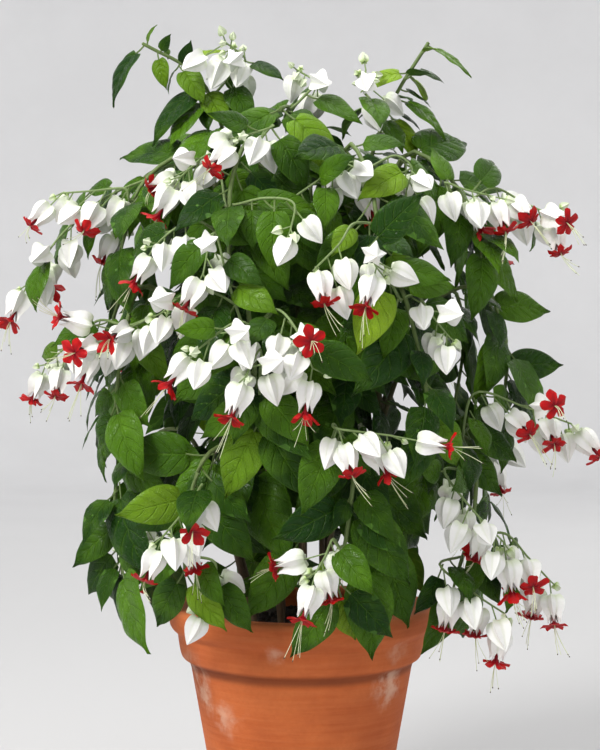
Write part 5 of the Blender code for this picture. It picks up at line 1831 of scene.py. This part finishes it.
class VINE_OT_sprays(bpy.types.Operator):
    """Hangs the sprays: stalks, keeled white calyces, red stars and long pale filaments"""

    bl_idname = "vine.sprays"
    bl_label = "Flower sprays"

    def execute(self, context):
        settings = context.scene.vine_flowers
        finishes = [
            stem_finish("spray_stalk", settings.stalk_colour, settings.stalk_colour, 0.0002),
            petal_finish(settings),
            star_finish(settings),
            thread_finish("filament", settings.thread_colour, THREAD_SPOTS, 0.5),
            thread_finish("anther", settings.anther_colour, ANTHER_SPOTS, 0.7),
        ]
        for number, spray in enumerate(SPRAY_LIST):
            skins = Skins()
            seed = SEED + FLOWER_SEEDS * number
            path = spline(spray["path"], FINE_STALK_POINTS)
            thick = np.linspace(STALK_THICKNESS, STALK_TAPER * STALK_THICKNESS, FINE_STALK_POINTS) / 2
            skins.add(*tubes(path[None], thick[None], STALK_SIDES), 0, along_=1.0)
            heads = spray["flowers"] + spray["buds"]
            axis = gathered(heads, "axis")
            share = np.linspace(0, PEDICEL_RUN, PEDICEL_POINTS)
            reach = (axis * gathered(heads, "stalk")[:, None])[:, None] * share[:, None]
            paths = gathered(heads, "root")[:, None] + reach
            skins.add(*tubes(paths, PEDICEL_THICKNESS * TRIANGLE_SHARE, PEDICEL_SIDES), 0, along_=1.0)
            closed = [flower for flower in spray["flowers"] if not flower["opened"]]
            opened = [flower for flower in spray["flowers"] if flower["opened"]]
            for group, wide, tint in ((closed, False, 0.0), (spray["buds"], False, BUD_TINT),
                                      (opened, True, 0.0)):
                if group:
                    skin, shade, keel = calyces(group, wide, seed)
                    skins.add(*skin, 1, along_=shade, across=keel, tint=tint)
            if opened:
                skin, shade = stars(opened, seed)
                skins.add(*skin, 2, along_=shade)
                threads = stamens(opened, seed, settings.thread_length)
                skins.add(*tubes(threads, settings.thread_thickness / 2, 4), 3)
                ends = threads[:, -1]
                runs = normal_of(threads[:, -1] - threads[:, -2])
                keep = np.arange(len(ends)) % FILAMENTS != 0
                size = np.full(keep.sum(), ANTHER_LENGTH)
                skins.add(*beads(ends[keep], runs[keep], size, size * ANTHER_WIDTH, BEAD_ROUNDS, seed), 4)
            skins.piece(f"bloom_{spray['name']}", finishes, [spray["name"]], 45.0)
        return {"FINISHED"}


# The floor's flat rings, the bend where it rises and the wall, and the painted shade that darkens it near
# the pot
FLOOR_RINGS = (0.05, 0.3, 1.0)
BEND_POINTS = 14
BEND_RADIUS = 0.9
WALL_HEIGHT = 3.4
FLOOR_DEPTH = 0.1
PALE_SHARE = 0.96
PAINTED_SHADE_SHARE = 0.62
NEAR_REACH = 0.8
FAR_REACH = 0.6

# Lamps: name, place, size and power. All aim at one height on the pot's axis
LAMPS = (("key", (-1.7, -1.7, 2.3), 1.1, 86.0), ("fill", (1.9, -1.6, 1.2), 1.8, 5.0),
         ("top", (0.1, 0.3, 2.6), 1.6, 34.0), ("back", (0.9, 1.9, 1.8), 1.4, 10.0))
LAMP_COLOUR = (1.0, 0.985, 0.96)
LAMP_AIM = 0.35
SKY_COLOUR = (0.98, 0.99, 1.0, 1.0)
SKY_STRENGTH = 0.44
SENSOR_WIDTH = 36.0
FOCAL_LENGTH = 80.93
CAMERA_ASIDE = -0.0012


class VINE_OT_stage(bpy.types.Operator):
    """Sets the pale floor with painted shade near the pot, the soft lights and the camera"""

    bl_idname = "vine.stage"
    bl_label = "Stage"

    def execute(self, context):
        settings = context.scene.vine_stage
        reach = settings.floor_reach
        turn = np.linspace(0, 0.5 * np.pi, BEND_POINTS)
        wall = reach + BEND_RADIUS
        profile = [(radius, 0.0) for radius in (*FLOOR_RINGS, reach)]
        profile += [(reach + BEND_RADIUS * np.sin(t), BEND_RADIUS * (1 - np.cos(t))) for t in turn[1:]]
        profile += [(wall, WALL_HEIGHT), (wall + FLOOR_DEPTH, WALL_HEIGHT),
                    (wall + FLOOR_DEPTH, -FLOOR_DEPTH), (FLOOR_RINGS[0], -FLOOR_DEPTH)]
        skins = Skins()
        rings = turned_rings(np.array(profile), FINE_SIDES)
        skins.add(rings, np.zeros((1, 3)), np.array([[0.0, 0.0, -FLOOR_DEPTH]]), 0)
        made, tree, shader, place = new_finish("pale_floor", 0.9)
        spots = mottled(tree, place, 3.0, 0.3, 0.7)
        pale = tuple(PALE_SHARE * value for value in settings.floor_colour)
        # Painted shade: the floor is darker near the pot and turns to its full colour farther out
        near = tuple(PAINTED_SHADE_SHARE * value for value in settings.floor_colour)
        away = add_node(tree, "ShaderNodeVectorMath", {0: place}, operation="LENGTH").outputs["Value"]
        base = blend(tree, spots, pale, settings.floor_colour)
        far = ranged(tree, away, NEAR_REACH, reach + FAR_REACH)
        finish_colour(tree, shader, blend(tree, far, near, base))
        skins.shown("floor", [made])
        for name, place, size, power in LAMPS:
            lamp = bpy.data.lights.new(name, "AREA")
            lamp.size = size
            lamp.energy = power
            lamp.color = LAMP_COLOUR
            holder = bpy.data.objects.new(name, lamp)
            holder.location = place
            away = np.array(place) - (0.0, 0.0, LAMP_AIM)
            tilt = math.atan2(math.hypot(away[0], away[1]), away[2])
            holder.rotation_euler = (tilt, 0.0, math.atan2(away[0], -away[1]))
            context.scene.collection.objects.link(holder)
        world = bpy.data.worlds.new("soft_light")
        world.use_nodes = True
        sky = world.node_tree.nodes["Background"]
        sky.inputs["Color"].default_value = SKY_COLOUR
        sky.inputs["Strength"].default_value = SKY_STRENGTH
        context.scene.world = world
        lens = bpy.data.cameras.new("camera")
        lens.sensor_width = SENSOR_WIDTH
        lens.lens = FOCAL_LENGTH
        camera = bpy.data.objects.new("camera", lens)
        camera.location = (CAMERA_ASIDE, -settings.camera_distance, settings.camera_height)
        camera.rotation_euler = (0.5 * math.pi - settings.camera_tilt, 0.0, 0.0)
        context.scene.collection.objects.link(camera)
        context.scene.camera = camera
        context.scene.view_settings.view_transform = "Standard"
        return {"FINISHED"}


class VINE_PT_panel(bpy.types.Panel):
    """Lists the pieces of the vine and their sizes and colours"""

    bl_idname = "VINE_PT_panel"
    bl_label = "Bleeding heart vine"
    bl_space_type = "VIEW_3D"
    bl_region_type = "UI"
    bl_category = "Vine"

    def draw(self, context):
        for key, steps in PANEL_ROWS:
            box = self.layout.box()
            for step in steps:
                box.operator(step)
            settings = getattr(context.scene, key)
            for name in settings.bl_rna.properties.keys():
                if name not in ("rna_type", "name"):
                    box.prop(settings, name)


PANEL_ROWS = (("vine_pot", ("vine.pot", "vine.soil")), ("vine_leaves", ("vine.canes", "vine.spray_leaves")),
              ("vine_flowers", ("vine.sprays",)), ("vine_stage", ("vine.stage",)))
GROUPS = {"vine_pot": VinePotSettings, "vine_leaves": VineLeafSettings, "vine_flowers": VineFlowerSettings,
          "vine_stage": VineStageSettings}
CLASSES = (*GROUPS.values(), VINE_OT_pot, VINE_OT_soil, VINE_OT_canes, VINE_OT_spray_leaves,
           VINE_OT_sprays, VINE_OT_stage, VINE_PT_panel)


def register():
    for kind in CLASSES:
        bpy.utils.register_class(kind)
    for key, kind in GROUPS.items():
        setattr(bpy.types.Scene, key, bpy.props.PointerProperty(type=kind))


def unregister():
    for key in GROUPS:
        delattr(bpy.types.Scene, key)
    for kind in reversed(CLASSES):
        bpy.utils.unregister_class(kind)


def main():
    """Makes every piece in order."""
    register()
    bpy.ops.vine.stage()
    bpy.ops.vine.pot()
    bpy.ops.vine.soil()
    bpy.ops.vine.canes()
    bpy.ops.vine.spray_leaves()
    bpy.ops.vine.sprays()


GROWTH = Growth()
CANES, SPRAY_LIST, LEAVES = grow_plant(GROWTH)
grow_buds(GROWTH, SPRAY_LIST)
SPRAY_LEAVES = grow_spray_leaves(GROWTH, SPRAY_LIST)
INNER = grow_inner_leaves(GROWTH, CANES, LEAVES)

if __name__ == "__main__":
    main()
